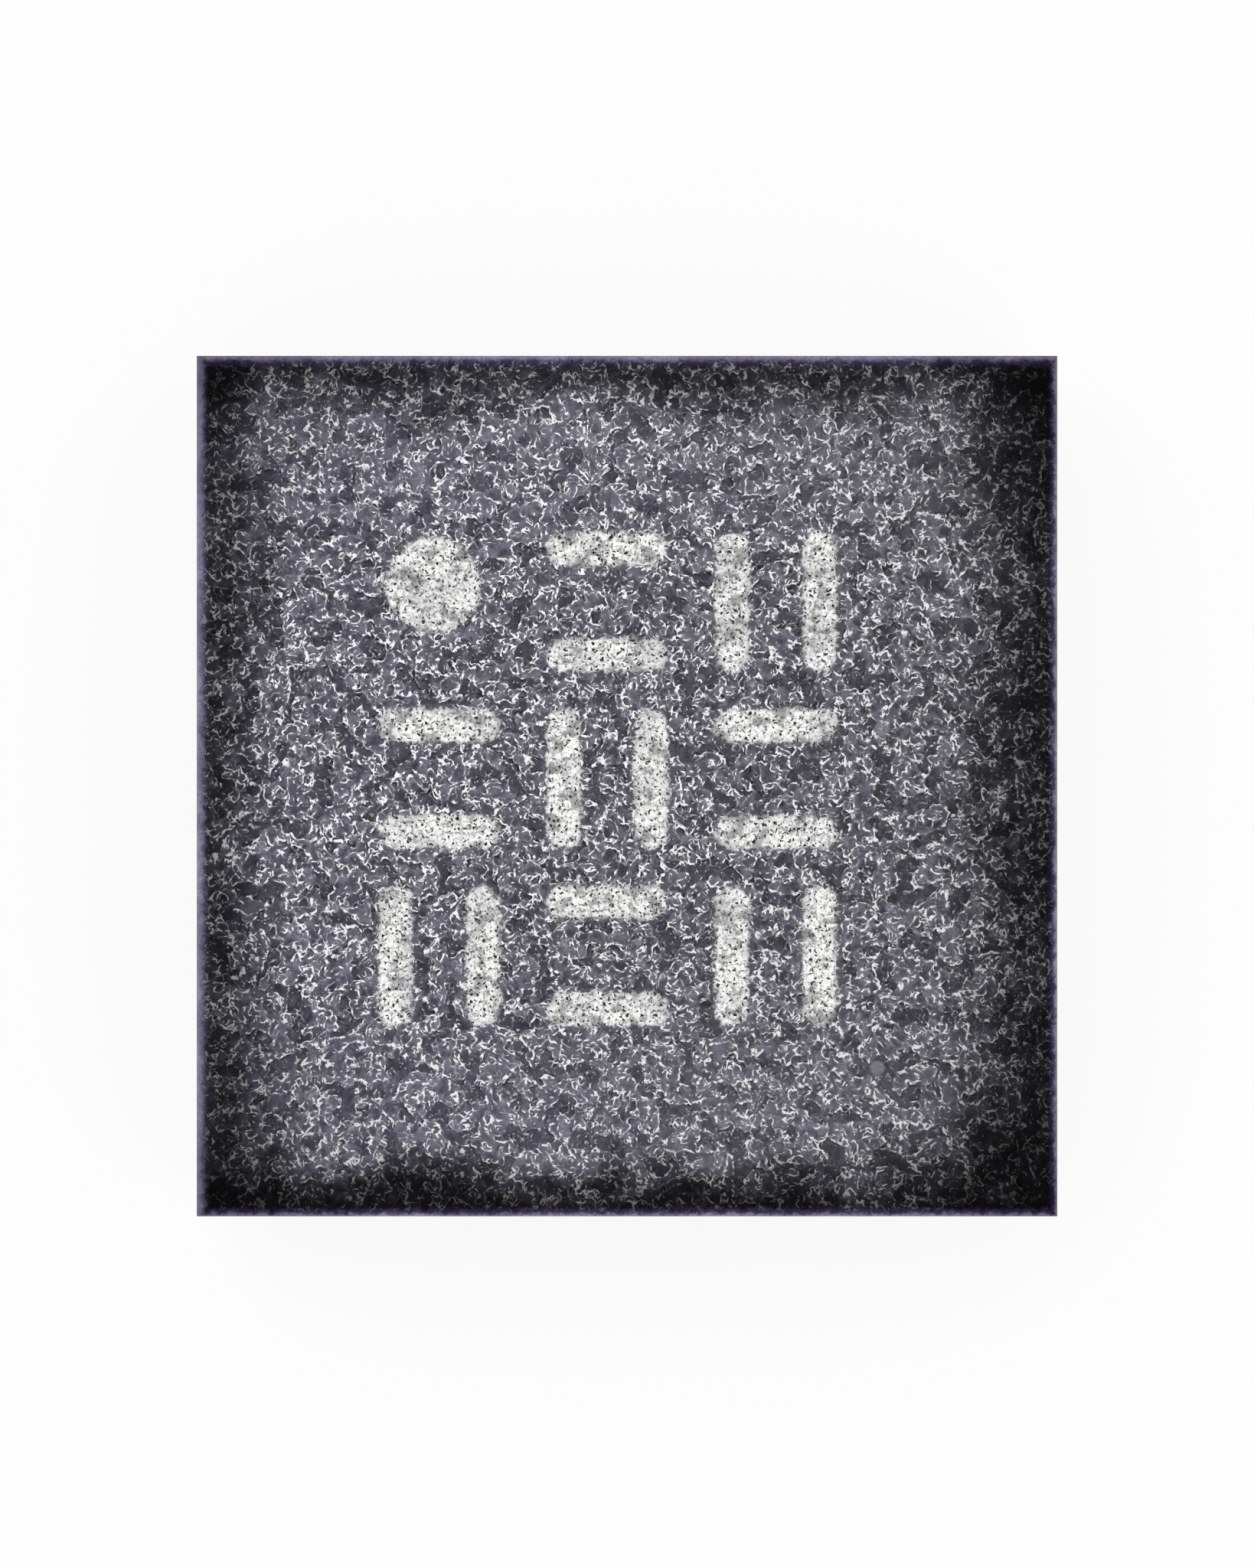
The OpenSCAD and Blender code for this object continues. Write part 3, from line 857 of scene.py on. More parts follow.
@dataclass(frozen=True)
class RoughMould:
    """Finish of the top face: grey grain with painted glints, painted shade along the edges, and pale marks.
    In millimetres, relief in metres.
    """

    marks: LaserMarks
    grain: GrainAndGlints
    edges: EdgeShade
    bare: BareMark = BareMark()
    specular: float = 0.03
    gloss: Step = Step(0.0, 1.0, 0.65, 0.4)
    relief: float = 3 * UM
    dark_left: Colour = paint(70, 68, 82)
    dark_right: Colour = paint(73, 71, 78)
    # Pale colour of the painted glow near the curls, also laid on soft clouds of tone, round the marks and on
    # filler beads.
    haze_and_glow: Colour = paint(150, 147, 163)
    # White of the painted glints.
    bright: Colour = paint(253, 253, 255)
    cloud: Noise = Noise(0.09)
    cloud_tone: Step = Step(0.3, 0.7, 0.76, 1.18)
    grit: Noise = Noise(0.006, 1.0)
    grit_tone: Step = Step(0.25, 0.75, 0.82, 1.18)
    patch_depth: float = 0.26
    lift: Step = Step(0.75, 1.05, 1.0, 1.47)
    mark_halo: Step = Step(0.03, 0.0, 0.0, 0.3)
    bead_tone: float = 0.7
    painted_shadow_depth: float = 0.74
    light_left: float = 0.99
    light_right: float = 0.86
    light_lower: float = 1.0
    light_upper: float = 1.07
    line_fade: float = 0.77
    sharp_left: float = 0.3
    sharp_up: float = 0.25
    sharpness: Step = Step(0.6, 1.8, 1.0, 0.8)
    soft_tone: float = 0.36
    mark_edge: Step = Step(0.006, -0.006)
    wear: Noise = Noise(0.2, 3.0, 0.6)
    wear_level: Step = Step(0.36, 0.52, 0.72, 1.0)

    def across(self, dress: Dressing, place: Socket, low: float = 0.0, high: float = 1.0) -> Socket:
        """Return a level that changes from one edge of the top face to the opposite one."""
        return dress.ramp(place, Step(-self.edges.half, self.edges.half, low, high))

    def ground(self, dress: Dressing, at: Socket, grain: GrainAndGlintLevels, distance: Socket) -> Socket:
        """Colour the mould between the curls, with the painted glow near them.

        Args:
            dress: The material.
            at: Place on the top face.
            grain: Levels of the grain and its painted light.
            distance: Distance to the marks.

        Returns:
            The colour, in even light.
        """
        x, y, _ = dress.axes(at)
        cloud = dress.ramp(dress.level(at, self.cloud), self.cloud_tone)
        grit = dress.ramp(dress.level(at, self.grit), self.grit_tone)
        deep = dress.product(dress.remaining(grain.flat, self.patch_depth),
                             dress.ramp(dress.math("ABSOLUTE", y), self.lift))
        colour = dress.mix(self.across(dress, x), self.dark_left, self.dark_right)
        colour = dress.scaled(colour, dress.product(cloud, grit, deep))
        # Painted glow near the curls, soft clouds of tone, the pale halo round the marks and the filler
        # beads, all in the pale colour.
        spread = dress.math("MAXIMUM", grain.haze_and_glow, dress.ramp(distance, self.mark_halo))
        spread = dress.math("MAXIMUM", spread, dress.product(grain.bead, self.bead_tone))
        return dress.mix(spread, colour, self.haze_and_glow)

    def material(self) -> Material:
        """Make the material.

        Returns:
            The material.
        """
        dress = Dressing("rough_mould", self.specular)
        at = dress.place()
        x, y, _ = dress.axes(at)
        grain = self.grain.levels(dress, at)
        distance = self.marks.distance(dress, at)
        out = dress.length(dress.math("ADD", x, self.sharp_left), dress.math("SUBTRACT", y, self.sharp_up))
        sharp = dress.ramp(out, self.sharpness)
        slant = dress.product(self.across(dress, x, self.light_left, self.light_right),
                              self.across(dress, y, self.light_lower, self.light_upper))
        shade = dress.product(self.edges.tone(dress, at), slant)
        # Painted shadow darkens the ground beside the brightest curls.
        painted_shadow = dress.remaining(dress.product(grain.painted_shadow, sharp), self.painted_shadow_depth)
        colour = dress.scaled(self.ground(dress, at, grain, distance), painted_shadow)
        colour = dress.scaled(colour, shade)
        # Painted glints: the curls in white, crisp near the upper left and blurred further out, dimmed by the
        # painted shade and held back on filler beads.
        glow = dress.math("MINIMUM", dress.math("POWER", shade, self.line_fade), 1.0)
        blurred = dress.math("MULTIPLY_ADD", sharp, -self.soft_tone, self.soft_tone)
        shine = dress.math("ADD", dress.product(grain.glint, sharp), dress.product(grain.soft, blurred))
        shine = dress.product(shine, dress.remaining(grain.bead, self.bead_tone))
        colour = dress.mix(shine, colour, dress.scaled(self.bright[:3], glow))
        colour = self.edges.rim(dress, at, colour)
        worn = dress.ramp(dress.level(at, self.wear), self.wear_level)
        inside = dress.product(dress.ramp(distance, self.mark_edge), worn)
        colour = dress.mix(inside, colour, self.bare.colour(dress, at, distance))
        dress.bump(dress.product(dress.math("SUBTRACT", 1.0, inside), grain.glint), self.relief)
        return dress.finish(colour, dress.ramp(grain.glint, self.gloss))


@dataclass(frozen=True)
class SawnMould:
    """Finish of the sawn sides: dark grey, saw lines and cut beads. In millimetres, relief in metres."""

    dark: Colour = paint(46, 45, 50)
    pale: Colour = paint(68, 67, 72)
    scratch: Colour = paint(104, 103, 108)
    bead_dark: Colour = paint(24, 23, 27)
    bead_pale: Colour = paint(152, 151, 156)
    specular: float = 0.3
    gloss: Step = Step(0.3, 0.7, 0.62, 0.48)
    relief: float = 3 * UM
    line: Noise = Noise(0.011, 3.0, 0.6)
    line_stretch: float = 0.02
    line_tone: Step = Step(0.3, 0.7, 0.0, 0.5)
    line_height: float = 0.6
    scratch_level: Step = Step(0.62, 0.72, 0.0, 0.5)
    cloud: Noise = Noise(0.1, 3.0, 0.6)
    cloud_stretch: float = 0.25
    cloud_tone: Step = Step(0.3, 0.7)
    cloud_share: float = 0.5
    bead_edge: Step = Step(0.05, -0.03)
    bead_tone: float = 0.72
    bead_sunk: float = 0.4

    def beads(self) -> tuple[Spots, ...]:
        """Return the sizes of filler bead that the saw has cut through."""
        return (Spots(0.075, 0.12, 0.28, self.bead_edge, 0.3), Spots(0.036, 0.1, 0.32, self.bead_edge, 0.5),
                Spots(0.017, 0.15, 0.3, self.bead_edge, 0.5))

    def material(self) -> Material:
        """Make the material.

        Returns:
            The material.
        """
        dress = Dressing("sawn_mould", self.specular)
        at = dress.unrolled()
        lines = dress.level(dress.drawn_out(at, self.line_stretch), self.line)
        cloud = dress.level(dress.drawn_out(at, self.cloud_stretch), self.cloud)
        tone = dress.math("MULTIPLY_ADD", dress.ramp(cloud, self.cloud_tone), self.cloud_share,
                          dress.ramp(lines, self.line_tone))
        colour = dress.mix(tone, self.dark, self.pale)
        height = dress.product(lines, self.line_height)
        for bead in self.beads():
            disc, shine = dress.spots(at, bead)
            cut = dress.mix(shine, self.bead_dark, self.bead_pale)
            colour = dress.mix(dress.product(disc, self.bead_tone), colour, cut)
            proud = dress.math("SUBTRACT", shine, self.bead_sunk)
            height = dress.math("ADD", height, dress.product(disc, proud))
        colour = dress.mix(dress.ramp(lines, self.scratch_level), colour, self.scratch)
        dress.bump(height, self.relief)
        return dress.finish(colour, dress.ramp(lines, self.gloss))


@dataclass(frozen=True)
class SolderMask:
    """Finish of the solder mask: green lacquer over a faint weave. In millimetres, relief in metres."""

    deep: Colour = paint(10, 56, 36)
    pale: Colour = paint(24, 88, 58)
    fleck: Colour = paint(66, 126, 92)
    specular: float = 0.3
    gloss: Step = Step(0.3, 0.7, 0.34, 0.46)
    relief: float = 2 * UM
    weave: float = 0.3
    weave_bend: Bend = Bend(0.3, 0.02)
    weave_tone: float = 0.22
    weave_height: float = 0.4
    cloud: Noise = Noise(0.5, 3.0, 0.55)
    cloud_tone: Step = Step(0.25, 0.75, 0.3, 0.7)
    peel: Noise = Noise(0.03, 2.0, 0.5)
    grain: Spots = Spots(0.02, 0.0, 0.0, Step(0.34, 0.18), 0.3)
    grain_tone: float = 0.45

    def material(self) -> Material:
        """Make the material.

        Returns:
            The material.
        """
        dress = Dressing("solder_mask", self.specular)
        at = dress.place()
        cloud = dress.level(at, self.cloud, flat=False)
        peel = dress.level(at, self.peel, flat=False)
        x, y, _ = dress.axes(dress.wander(at, self.weave_bend, flat=False))
        turns = 2 * math.pi / self.weave
        over, under = (dress.math("SINE", dress.product(side, turns)) for side in (x, y))
        cloth = dress.product(over, under)
        tone = dress.math("MULTIPLY_ADD", cloth, self.weave_tone, dress.ramp(cloud, self.cloud_tone))
        grain, _ = dress.spots(at, self.grain, flat=False)
        lacquer = dress.mix(tone, self.deep, self.pale)
        colour = dress.mix(dress.product(grain, self.grain_tone), lacquer, self.fleck)
        dress.bump(dress.math("MULTIPLY_ADD", cloth, self.weave_height, peel), self.relief)
        return dress.finish(colour, dress.ramp(peel, self.gloss))


@dataclass(frozen=True)
class Laminate:
    """Finish of the sawn laminate: amber resin around woven glass. In millimetres, relief in metres."""

    low: float
    high: float
    resin: Colour = paint(112, 92, 54)
    amber: Colour = paint(142, 120, 76)
    glass: Colour = paint(204, 196, 164)
    shade: Colour = paint(160, 146, 108)
    specular: float = 0.35
    gloss: Step = Step(0.3, 0.7, 0.65, 0.5)
    relief: float = 1.5 * UM
    bend: Bend = Bend(0.2, 0.012)
    cloud: Noise = Noise(0.12, 3.0, 0.6)
    cloud_tone: Step = Step(0.3, 0.7)
    pitch: float = 0.3
    plies: int = 2
    ply_shift: float = 0.35
    wave: float = 0.16
    yarn_width: float = 0.44
    yarn_height: float = 0.19
    yarn_edge: Step = Step(1.05, 0.85)
    thread: float = 0.12
    thread_core: float = 0.7
    fibre: float = 0.008
    fibre_stretch: float = 0.05
    fibre_tone: Step = Step(0.35, 0.65)
    end_tone: Step = Step(0.2, 0.6)

    def material(self) -> Material:
        """Make the material.

        Returns:
            The material.
        """
        dress = Dressing("laminate", self.specular)
        at = dress.unrolled()
        along, rise, _ = dress.axes(dress.wander(at, self.bend))
        cloud = dress.ramp(dress.level(at, self.cloud), self.cloud_tone)
        colour = dress.mix(cloud, self.resin, self.amber)
        ends = dress.cells(at, self.fibre).outputs["Distance"]
        runs = dress.level(dress.drawn_out(at, self.fibre_stretch), Noise(self.fibre))
        lengths = dress.mix(dress.ramp(runs, self.fibre_tone), self.shade, self.glass)
        cuts = dress.mix(dress.ramp(ends, self.end_tone), self.glass, self.shade)
        for number in range(self.plies):
            yarn, thread = self.ply(dress, along, rise, number)
            colour = dress.mix(yarn, dress.mix(thread, colour, lengths), cuts)
        dress.bump(runs, self.relief)
        return dress.finish(colour, dress.ramp(runs, self.gloss))

    def ply(self, dress: Dressing, along: Socket, rise: Socket, number: int) -> tuple[Socket, Socket]:
        """Draw one woven ply: yarns cut across, and the thread that runs over and under them.

        Args:
            dress: The material.
            along: Place round the four sides in millimetres.
            rise: Height in millimetres.
            number: Number of the ply from below.

        Returns:
            Levels that are 1 on a cut yarn and on the running thread.
        """
        thick = (self.high - self.low) / self.plies
        middle = self.low + thick * number + thick / 2
        turn = dress.math("ADD", dress.math("DIVIDE", along, self.pitch), self.ply_shift * number)
        swing = dress.math("COSINE", dress.product(turn, math.pi))
        step = dress.math("SUBTRACT", turn, dress.math("ROUND", turn))
        side = dress.math("COSINE", dress.product(dress.math("ROUND", turn), math.pi))
        level = dress.math("DIVIDE", dress.math("SUBTRACT", rise, middle), thick)
        above = dress.math("MULTIPLY_ADD", side, -self.wave, level)
        yarn = dress.length(dress.math("DIVIDE", step, self.yarn_width),
                            dress.math("DIVIDE", above, self.yarn_height))
        off = dress.math("ABSOLUTE", dress.math("MULTIPLY_ADD", swing, self.wave, level))
        thread = Step(self.thread, self.thread_core * self.thread)
        return dress.ramp(yarn, self.yarn_edge), dress.ramp(off, thread)


@dataclass(frozen=True)
class GoldPlate:
    """Finish of gold plating and gold wire. In millimetres, relief in metres."""

    name: str
    gold: Colour = paint(238, 208, 140)
    warm: Colour = paint(222, 182, 108)
    specular: float = 0.5
    gloss: Step = Step(0.3, 0.7, 0.26, 0.44)
    nodule: float = 0.012
    relief: float = 0.8 * UM
    cloud: Noise = Noise(0.15, 3.0, 0.6)
    cloud_tone: Step = Step(0.3, 0.7, 0.0, 0.6)
    line: Noise = Noise(0.014, 3.0, 0.65)
    line_stretch: float = 0.15
    line_tone: Step = Step(0.35, 0.65)
    line_share: float = 0.4

    def material(self) -> Material:
        """Make the material.

        Returns:
            The material.
        """
        dress = Dressing(self.name, self.specular, metallic=1.0)
        at = dress.place()
        cloud = dress.level(at, self.cloud, flat=False)
        dress.bump(dress.cells(at, self.nodule, "SMOOTH_F1", flat=False).outputs["Distance"], self.relief)
        lines = dress.level(dress.drawn_out(at, self.line_stretch), self.line, flat=False)
        tone = dress.math("MULTIPLY_ADD", dress.ramp(lines, self.line_tone), self.line_share,
                          dress.ramp(cloud, self.cloud_tone))
        return dress.finish(dress.mix(tone, self.gold, self.warm), dress.ramp(lines, self.gloss))


@dataclass(frozen=True)
class Clouded:
    """Finish in two tones with soft clouds between them. In millimetres, relief in metres."""

    name: str
    clean: Colour
    dull: Colour
    cloud: Noise
    gloss: Step
    tone: Step = Step(0.3, 0.7)
    specular: float = 0.5
    metallic: float = 0.0
    relief: float = 1 * UM
    stretch: Triple = (1.0, 1.0, 1.0)

    def material(self) -> Material:
        """Make the material.

        Returns:
            The material.
        """
        dress = Dressing(self.name, self.specular, self.metallic)
        cloud = dress.level(dress.vector("MULTIPLY", dress.place(), self.stretch), self.cloud, flat=False)
        dress.bump(cloud, self.relief)
        colour = dress.mix(dress.ramp(cloud, self.tone), self.clean, self.dull)
        return dress.finish(colour, dress.ramp(cloud, self.gloss))


@dataclass(frozen=True)
class Copper(Clouded):
    """Finish of plated copper."""

    name: str = "copper"
    clean: Colour = paint(214, 142, 104)
    dull: Colour = paint(160, 96, 66)
    cloud: Noise = Noise(0.04, 3.0, 0.6)
    gloss: Step = Step(0.3, 0.7, 0.3, 0.5)
    metallic: float = 1.0


@dataclass(frozen=True)
class DieFilm(Clouded):
    """Finish of the adhesive film under the dies."""

    name: str = "die_film"
    clean: Colour = paint(222, 214, 190)
    dull: Colour = paint(196, 180, 140)
    cloud: Noise = Noise(0.2, 3.0, 0.6)
    gloss: Step = Step(0.3, 0.7, 0.4, 0.55)
    specular: float = 0.4


@dataclass(frozen=True)
class Silicon(Clouded):
    """Finish of silicon, with faint lines left by grinding."""

    clean: Colour = paint(78, 80, 92)
    dull: Colour = paint(122, 124, 138)
    cloud: Noise = Noise(0.3, 4.0, 0.6)
    gloss: Step = Step(0.3, 0.7, 0.22, 0.36)
    tone: Step = Step(0.35, 0.65)
    specular: float = 0.6
    metallic: float = 0.4
    relief: float = 0.4 * UM
    stretch: Triple = (1.0, 12.0, 12.0)


class Finish(IntEnum):
    """Material slots of the mould."""

    TOP = 0
    SIDE = 1


def new_piece(name: str, shape: bmesh.types.BMesh) -> Piece:
    """Turn a shape into an object at the origin.

    Args:
        name: Name of the object and its mesh.
        shape: The shape, which is used up.

    Returns:
        The object.
    """
    mesh = bpy.data.meshes.new(name)
    shape.to_mesh(mesh)
    shape.free()
    piece = bpy.data.objects.new(name, mesh)
    bpy.context.scene.collection.objects.link(piece)
    return piece


def dress_node(material: Material, *names: str) -> None:
    """Give CAD nodes a material.

    Args:
        material: The material.
        *names: Names of the nodes.
    """
    for name in names:
        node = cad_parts[name]
        if not node.material_slots:
            node.data.materials.append(material)
        for slot in node.material_slots:
            slot.material = material


def read_all(items: bpy.types.bpy_prop_collection, name: str, kind: type, width: int = 1) -> np.ndarray:
    """Read one property of all items of a mesh.

    Args:
        items: The vertices, loops or polygons.
        name: Name of the property.
        kind: Type of its numbers.
        width: How many numbers it holds.

    Returns:
        The numbers, with a row for each item where the property holds several.
    """
    values = np.empty(width * len(items), dtype=kind)
    items.foreach_get(name, values)
    return values.reshape(-1, width) if width > 1 else values


@dataclass
class Mould:
    """Epoxy mould with its rough top, laser marks and sawn sides. In metres, its patterns in millimetres."""

    segments: int = 264
    side_rows: int = 2
    edge_break: float = 15 * UM
    skin: float = 20 * UM
    weld: float = 0.05 * UM
    pebble_relief: float = 5 * UM
    line_relief: float = 2 * UM
    mark_wall: Step = Step(0.004, -0.008)
    mark_grit: Noise = Noise(0.03, 3.0, 0.7)
    mark_least: float = 0.5
    map_top: float = 0.76
    map_strip: float = 0.055
    map_margin: float = 0.01
    map_gap: float = 0.005
    facing: float = 0.5
    marks: LaserMarks = LaserMarks()
    grain: GrainAndGlints = GrainAndGlints()
    half: float = field(init=False)
    top: float = field(init=False)
    bottom: float = field(init=False)

    def __post_init__(self) -> None:
        """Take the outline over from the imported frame."""
        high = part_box("mould_body")[1]
        self.half, self.top = high.x, high.z
        self.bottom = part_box("top_mask")[1].z

    def build(self) -> Piece:
        """Build the mould.

        Returns:
            The piece, which replaces the plain CAD mould.
        """
        piece = new_piece("epoxy_mould", self.shell())
        self.roughen(piece)
        self.map_for_baking(piece.data)
        for finish in (RoughMould(self.marks, self.grain, EdgeShade(self.half / MM)), SawnMould()):
            piece.data.materials.append(finish.material())
        return piece

    def shell(self) -> bmesh.types.BMesh:
        """Shape the mould.

        Returns:
            A fine grid on top, the sawn sides, and the hollows that the dies and wires fill.
        """
        shape = bmesh.new()
        inner = self.half - self.edge_break
        bmesh.ops.create_grid(shape, x_segments=self.segments, y_segments=self.segments, size=inner)
        bmesh.ops.translate(shape, verts=shape.verts, vec=(0, 0, self.top))
        rim = [edge for edge in shape.edges if edge.is_boundary]
        wall = self.top - self.edge_break - self.bottom
        drops = [self.edge_break] + [wall / self.side_rows] * self.side_rows
        for step, drop in enumerate(drops):
            grown = bmesh.ops.extrude_edge_only(shape, edges=rim)["geom"]
            verts = [item for item in grown if isinstance(item, bmesh.types.BMVert)]
            rim = [item for item in grown if isinstance(item, bmesh.types.BMEdge) and item.is_boundary]
            if step == 0:
                growth = self.half / inner
                bmesh.ops.scale(shape, verts=verts, vec=(growth, growth, 1))
            bmesh.ops.translate(shape, verts=verts, vec=(0, 0, -drop))
            for item in grown:
                if isinstance(item, bmesh.types.BMFace) and step > 0:
                    item.material_index = Finish.SIDE
        bmesh.ops.recalc_face_normals(shape, faces=shape.faces)
        hollows = self.hollows()
        shape.from_mesh(hollows)
        bpy.data.meshes.remove(hollows)
        seam = [vert for vert in shape.verts if vert.is_boundary]
        bmesh.ops.remove_doubles(shape, verts=seam, dist=self.weld)
        return shape

    def hollows(self) -> bpy.types.Mesh:
        """Take the underside and the hollows over from the CAD mould, and divide their rim as the sides are.

        Returns:
            The mesh, open along the lower edges of the sides.
        """
        shape = bmesh.new()
        shape.from_mesh(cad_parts["mould_body"].data)
        bmesh.ops.remove_doubles(shape, verts=shape.verts, dist=self.weld)
        outside = [face for face in shape.faces if self.is_outside(face)]
        bmesh.ops.delete(shape, geom=outside, context="FACES")
        rim = [edge for edge in shape.edges if edge.is_boundary]
        bmesh.ops.subdivide_edges(shape, edges=rim, cuts=self.segments - 1)
        bmesh.ops.triangulate(shape, faces=shape.faces)
        for face in shape.faces:
            face.material_index = Finish.SIDE
        mesh = bpy.data.meshes.new("mould_hollows")
        shape.to_mesh(mesh)
        shape.free()
        return mesh

    def is_outside(self, face: bmesh.types.BMFace) -> bool:
        """Tell whether a face of the CAD mould is on its top or its sides.

        Args:
            face: The face.

        Returns:
            Whether the fine grid or the sides stand for it.
        """
        places = [vert.co for vert in face.verts]
        on_top = all(place.z > self.top - self.skin for place in places)
        flush = [min(sign * place[axis] for place in places) for axis in (0, 1) for sign in (-1, 1)]
        return on_top or max(flush) > self.half - UM

    def relief(self, wiring: Wiring) -> Socket:
        """Work out the relief of the top face.

        Args:
            wiring: Where the nodes go.

        Returns:
            The height over the plane of the face in metres, which is 0 at most.
        """
        at = wiring.scaled(wiring.node("GeometryNodeInputPosition").outputs[0], 1 / MM)
        grain = self.grain.levels(wiring, at)
        sunk = wiring.product(wiring.math("SUBTRACT", 1.0, grain.flat), -self.pebble_relief)
        sunk = wiring.math("ADD", sunk, wiring.product(grain.glint, self.line_relief))
        rough = wiring.math("ADD", wiring.level(at, self.mark_grit), self.mark_least)
        floor = wiring.product(rough, -self.marks.depth * MM)
        inside = wiring.ramp(self.marks.distance(wiring, at), self.mark_wall)
        return wiring.math("MINIMUM", wiring.blend(inside, sunk, floor), 0.0)

    def roughen(self, piece: Piece) -> None:
        """Press the grain and the marks into the top face, and apply the result to the mesh.

        Args:
            piece: The mould.
        """
        tree = bpy.data.node_groups.new("mould_relief", "GeometryNodeTree")
        for way in ("INPUT", "OUTPUT"):
            tree.interface.new_socket("Mesh", in_out=way, socket_type="NodeSocketGeometry")
        wiring = Wiring(tree)
        offset = wiring.node("ShaderNodeCombineXYZ")
        wiring.feed(offset.inputs[2], self.relief(wiring))
        height = wiring.axes(wiring.node("GeometryNodeInputPosition").outputs[0])[2]
        moved = wiring.node("GeometryNodeSetPosition")
        wiring.feed(moved.inputs["Geometry"], wiring.node("NodeGroupInput").outputs[0])
        wiring.feed(moved.inputs["Selection"], wiring.math("GREATER_THAN", height, self.top - UM))
        wiring.feed(moved.inputs["Offset"], offset.outputs[0])
        wiring.feed(wiring.node("NodeGroupOutput").inputs[0], moved.outputs[0])
        piece.modifiers.new("relief", "NODES").node_group = tree
        graph = bpy.context.evaluated_depsgraph_get()
        pressed = bpy.data.meshes.new_from_object(piece.evaluated_get(graph))
        piece.modifiers.clear()
        piece.data = pressed
        bpy.data.node_groups.remove(tree)

    def map_for_baking(self, mesh: bpy.types.Mesh) -> None:
        """Lay the top face and the four sides out side by side in one map, with most of it for the top.

        Args:
            mesh: The mould's mesh.
        """
        corners = read_all(mesh.loops, "vertex_index", np.int32)
        places = read_all(mesh.vertices, "co", np.float32, 3)[corners]
        sizes = read_all(mesh.polygons, "loop_total", np.int32)
        normals = np.repeat(read_all(mesh.polygons, "normal", np.float32, 3), sizes, axis=0)
        sawn = np.repeat(read_all(mesh.polygons, "material_index", np.int32), sizes) == Finish.SIDE
        across = (places[:, :2] / self.half + 1) / 2
        rise = self.map_strip * (places[:, 2] - self.bottom) / (self.top - self.bottom)
        spread = self.map_top * across
        outer = np.zeros(len(places), dtype=bool)
        for order, (axis, sign) in enumerate(((0, -1), (0, 1), (1, -1), (1, 1))):
            flush = places[:, axis] * sign > self.half - UM
            side = sawn & flush & (normals[:, axis] * sign > self.facing)
            outer |= side
            spread[side, 0] = self.map_top * across[side, 1 - axis]
            strip = self.map_top + self.map_margin + order * (self.map_strip + self.map_gap)
            spread[side, 1] = strip + rise[side]
        below = sawn & ~outer
        rest = 1 - self.map_top - 2 * self.map_margin
        spread[below] = rest * across[below] + (self.map_top + self.map_margin, 0.0)
        layer = mesh.uv_layers.new(name=BAKE_MAP)
        layer.data.foreach_set("uv", spread.astype(np.float32).ravel())


@dataclass
class Substrate:
    """Laminate with its masks, pads, vias and bond fingers. In metres, and its finishes in millimetres."""

    pad_round: float = 3 * UM
    pad_segments: int = 3
    pad_weld: float = 0.1 * UM
    pad_flatness: float = 0.01
    pad_gold: GoldPlate = GoldPlate("pad_gold", nodule=0.02, relief=1.2 * UM)
    finger_gold: GoldPlate = GoldPlate("finger_gold")

    def build(self) -> list[Piece]:
        """Dress the laminate and give the pads their rounded plating.

        Returns:
            The new pads.
        """
        low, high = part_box("substrate_core")
        dress_node(Laminate(low.z / MM, high.z / MM).material(), "substrate_core")
        dress_node(SolderMask().material(), "top_mask", "bottom_mask")
        dress_node(Copper().material(), "vias")
        dress_node(self.finger_gold.material(), "bond_fingers")
        plating = self.pad_gold.material()
        return [self.pad(number, plating) for number in range(1, PADS + 1)]

    def pad(self, number: int, plating: Material) -> Piece:
        """Round the edges of one contact pad.

        Args:
            number: Number of the pad.
            plating: Its material.

        Returns:
            The piece that replaces the CAD pad.
        """
        node = f"contact_pad_{number}"
        shape = bmesh.new()
        shape.from_mesh(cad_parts[node].data)
        bmesh.ops.remove_doubles(shape, verts=shape.verts, dist=self.pad_weld)
        bmesh.ops.dissolve_limit(shape, angle_limit=self.pad_flatness, verts=shape.verts, edges=shape.edges)
        bmesh.ops.bevel(shape, geom=shape.edges, offset=self.pad_round, segments=self.pad_segments,
                        profile=0.5, affect="EDGES", material=-1)
        piece = new_piece(f"plated_pad_{number}", shape)
        piece.data.materials.append(plating)
        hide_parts(node)
        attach(piece, BODY)
        return piece


@dataclass
class DieStack:
    """Control die and sensor, with the films under them."""

    film: DieFilm = DieFilm()
    control: Silicon = Silicon("control_silicon")
    wafer: Silicon = Silicon("wafer_silicon", stretch=(12.0, 1.0, 12.0))
    etched: Silicon = Silicon("etched_silicon", paint(104, 108, 122), paint(146, 150, 164),
                              gloss=Step(0.3, 0.7, 0.3, 0.45), stretch=(1.0, 1.0, 1.0))

    def build(self) -> None:
        """Dress the dies and the films."""
        dress_node(self.film.material(), "control_film", "sensor_film")
        dress_node(self.control.material(), "control_die")
        dress_node(self.wafer.material(), "sensor_base", "sensor_cap")
        dress_node(self.etched.material(), "seal_ring", "vibrating_masses", "fixed_electrodes")


@dataclass
class WireBonds:
    """Gold wires from die to finger and from sensor to die."""

    gold: GoldPlate = GoldPlate("wire_gold", relief=0.2 * UM)

    def build(self) -> None:
        """Dress the wires."""
        names = [f"bond_wire_{number}" for number in range(1, PADS + 1)]
        names += [f"sensor_wire_{number}" for number in range(1, SENSOR_WIRES + 1)]
        dress_node(self.gold.material(), *names)


class Sun(NamedTuple):
    """Soft distant lamp: its name and strength, the way to it from the chip, and its width as an angle."""

    name: str
    strength: float
    towards: Triple
    spread: float


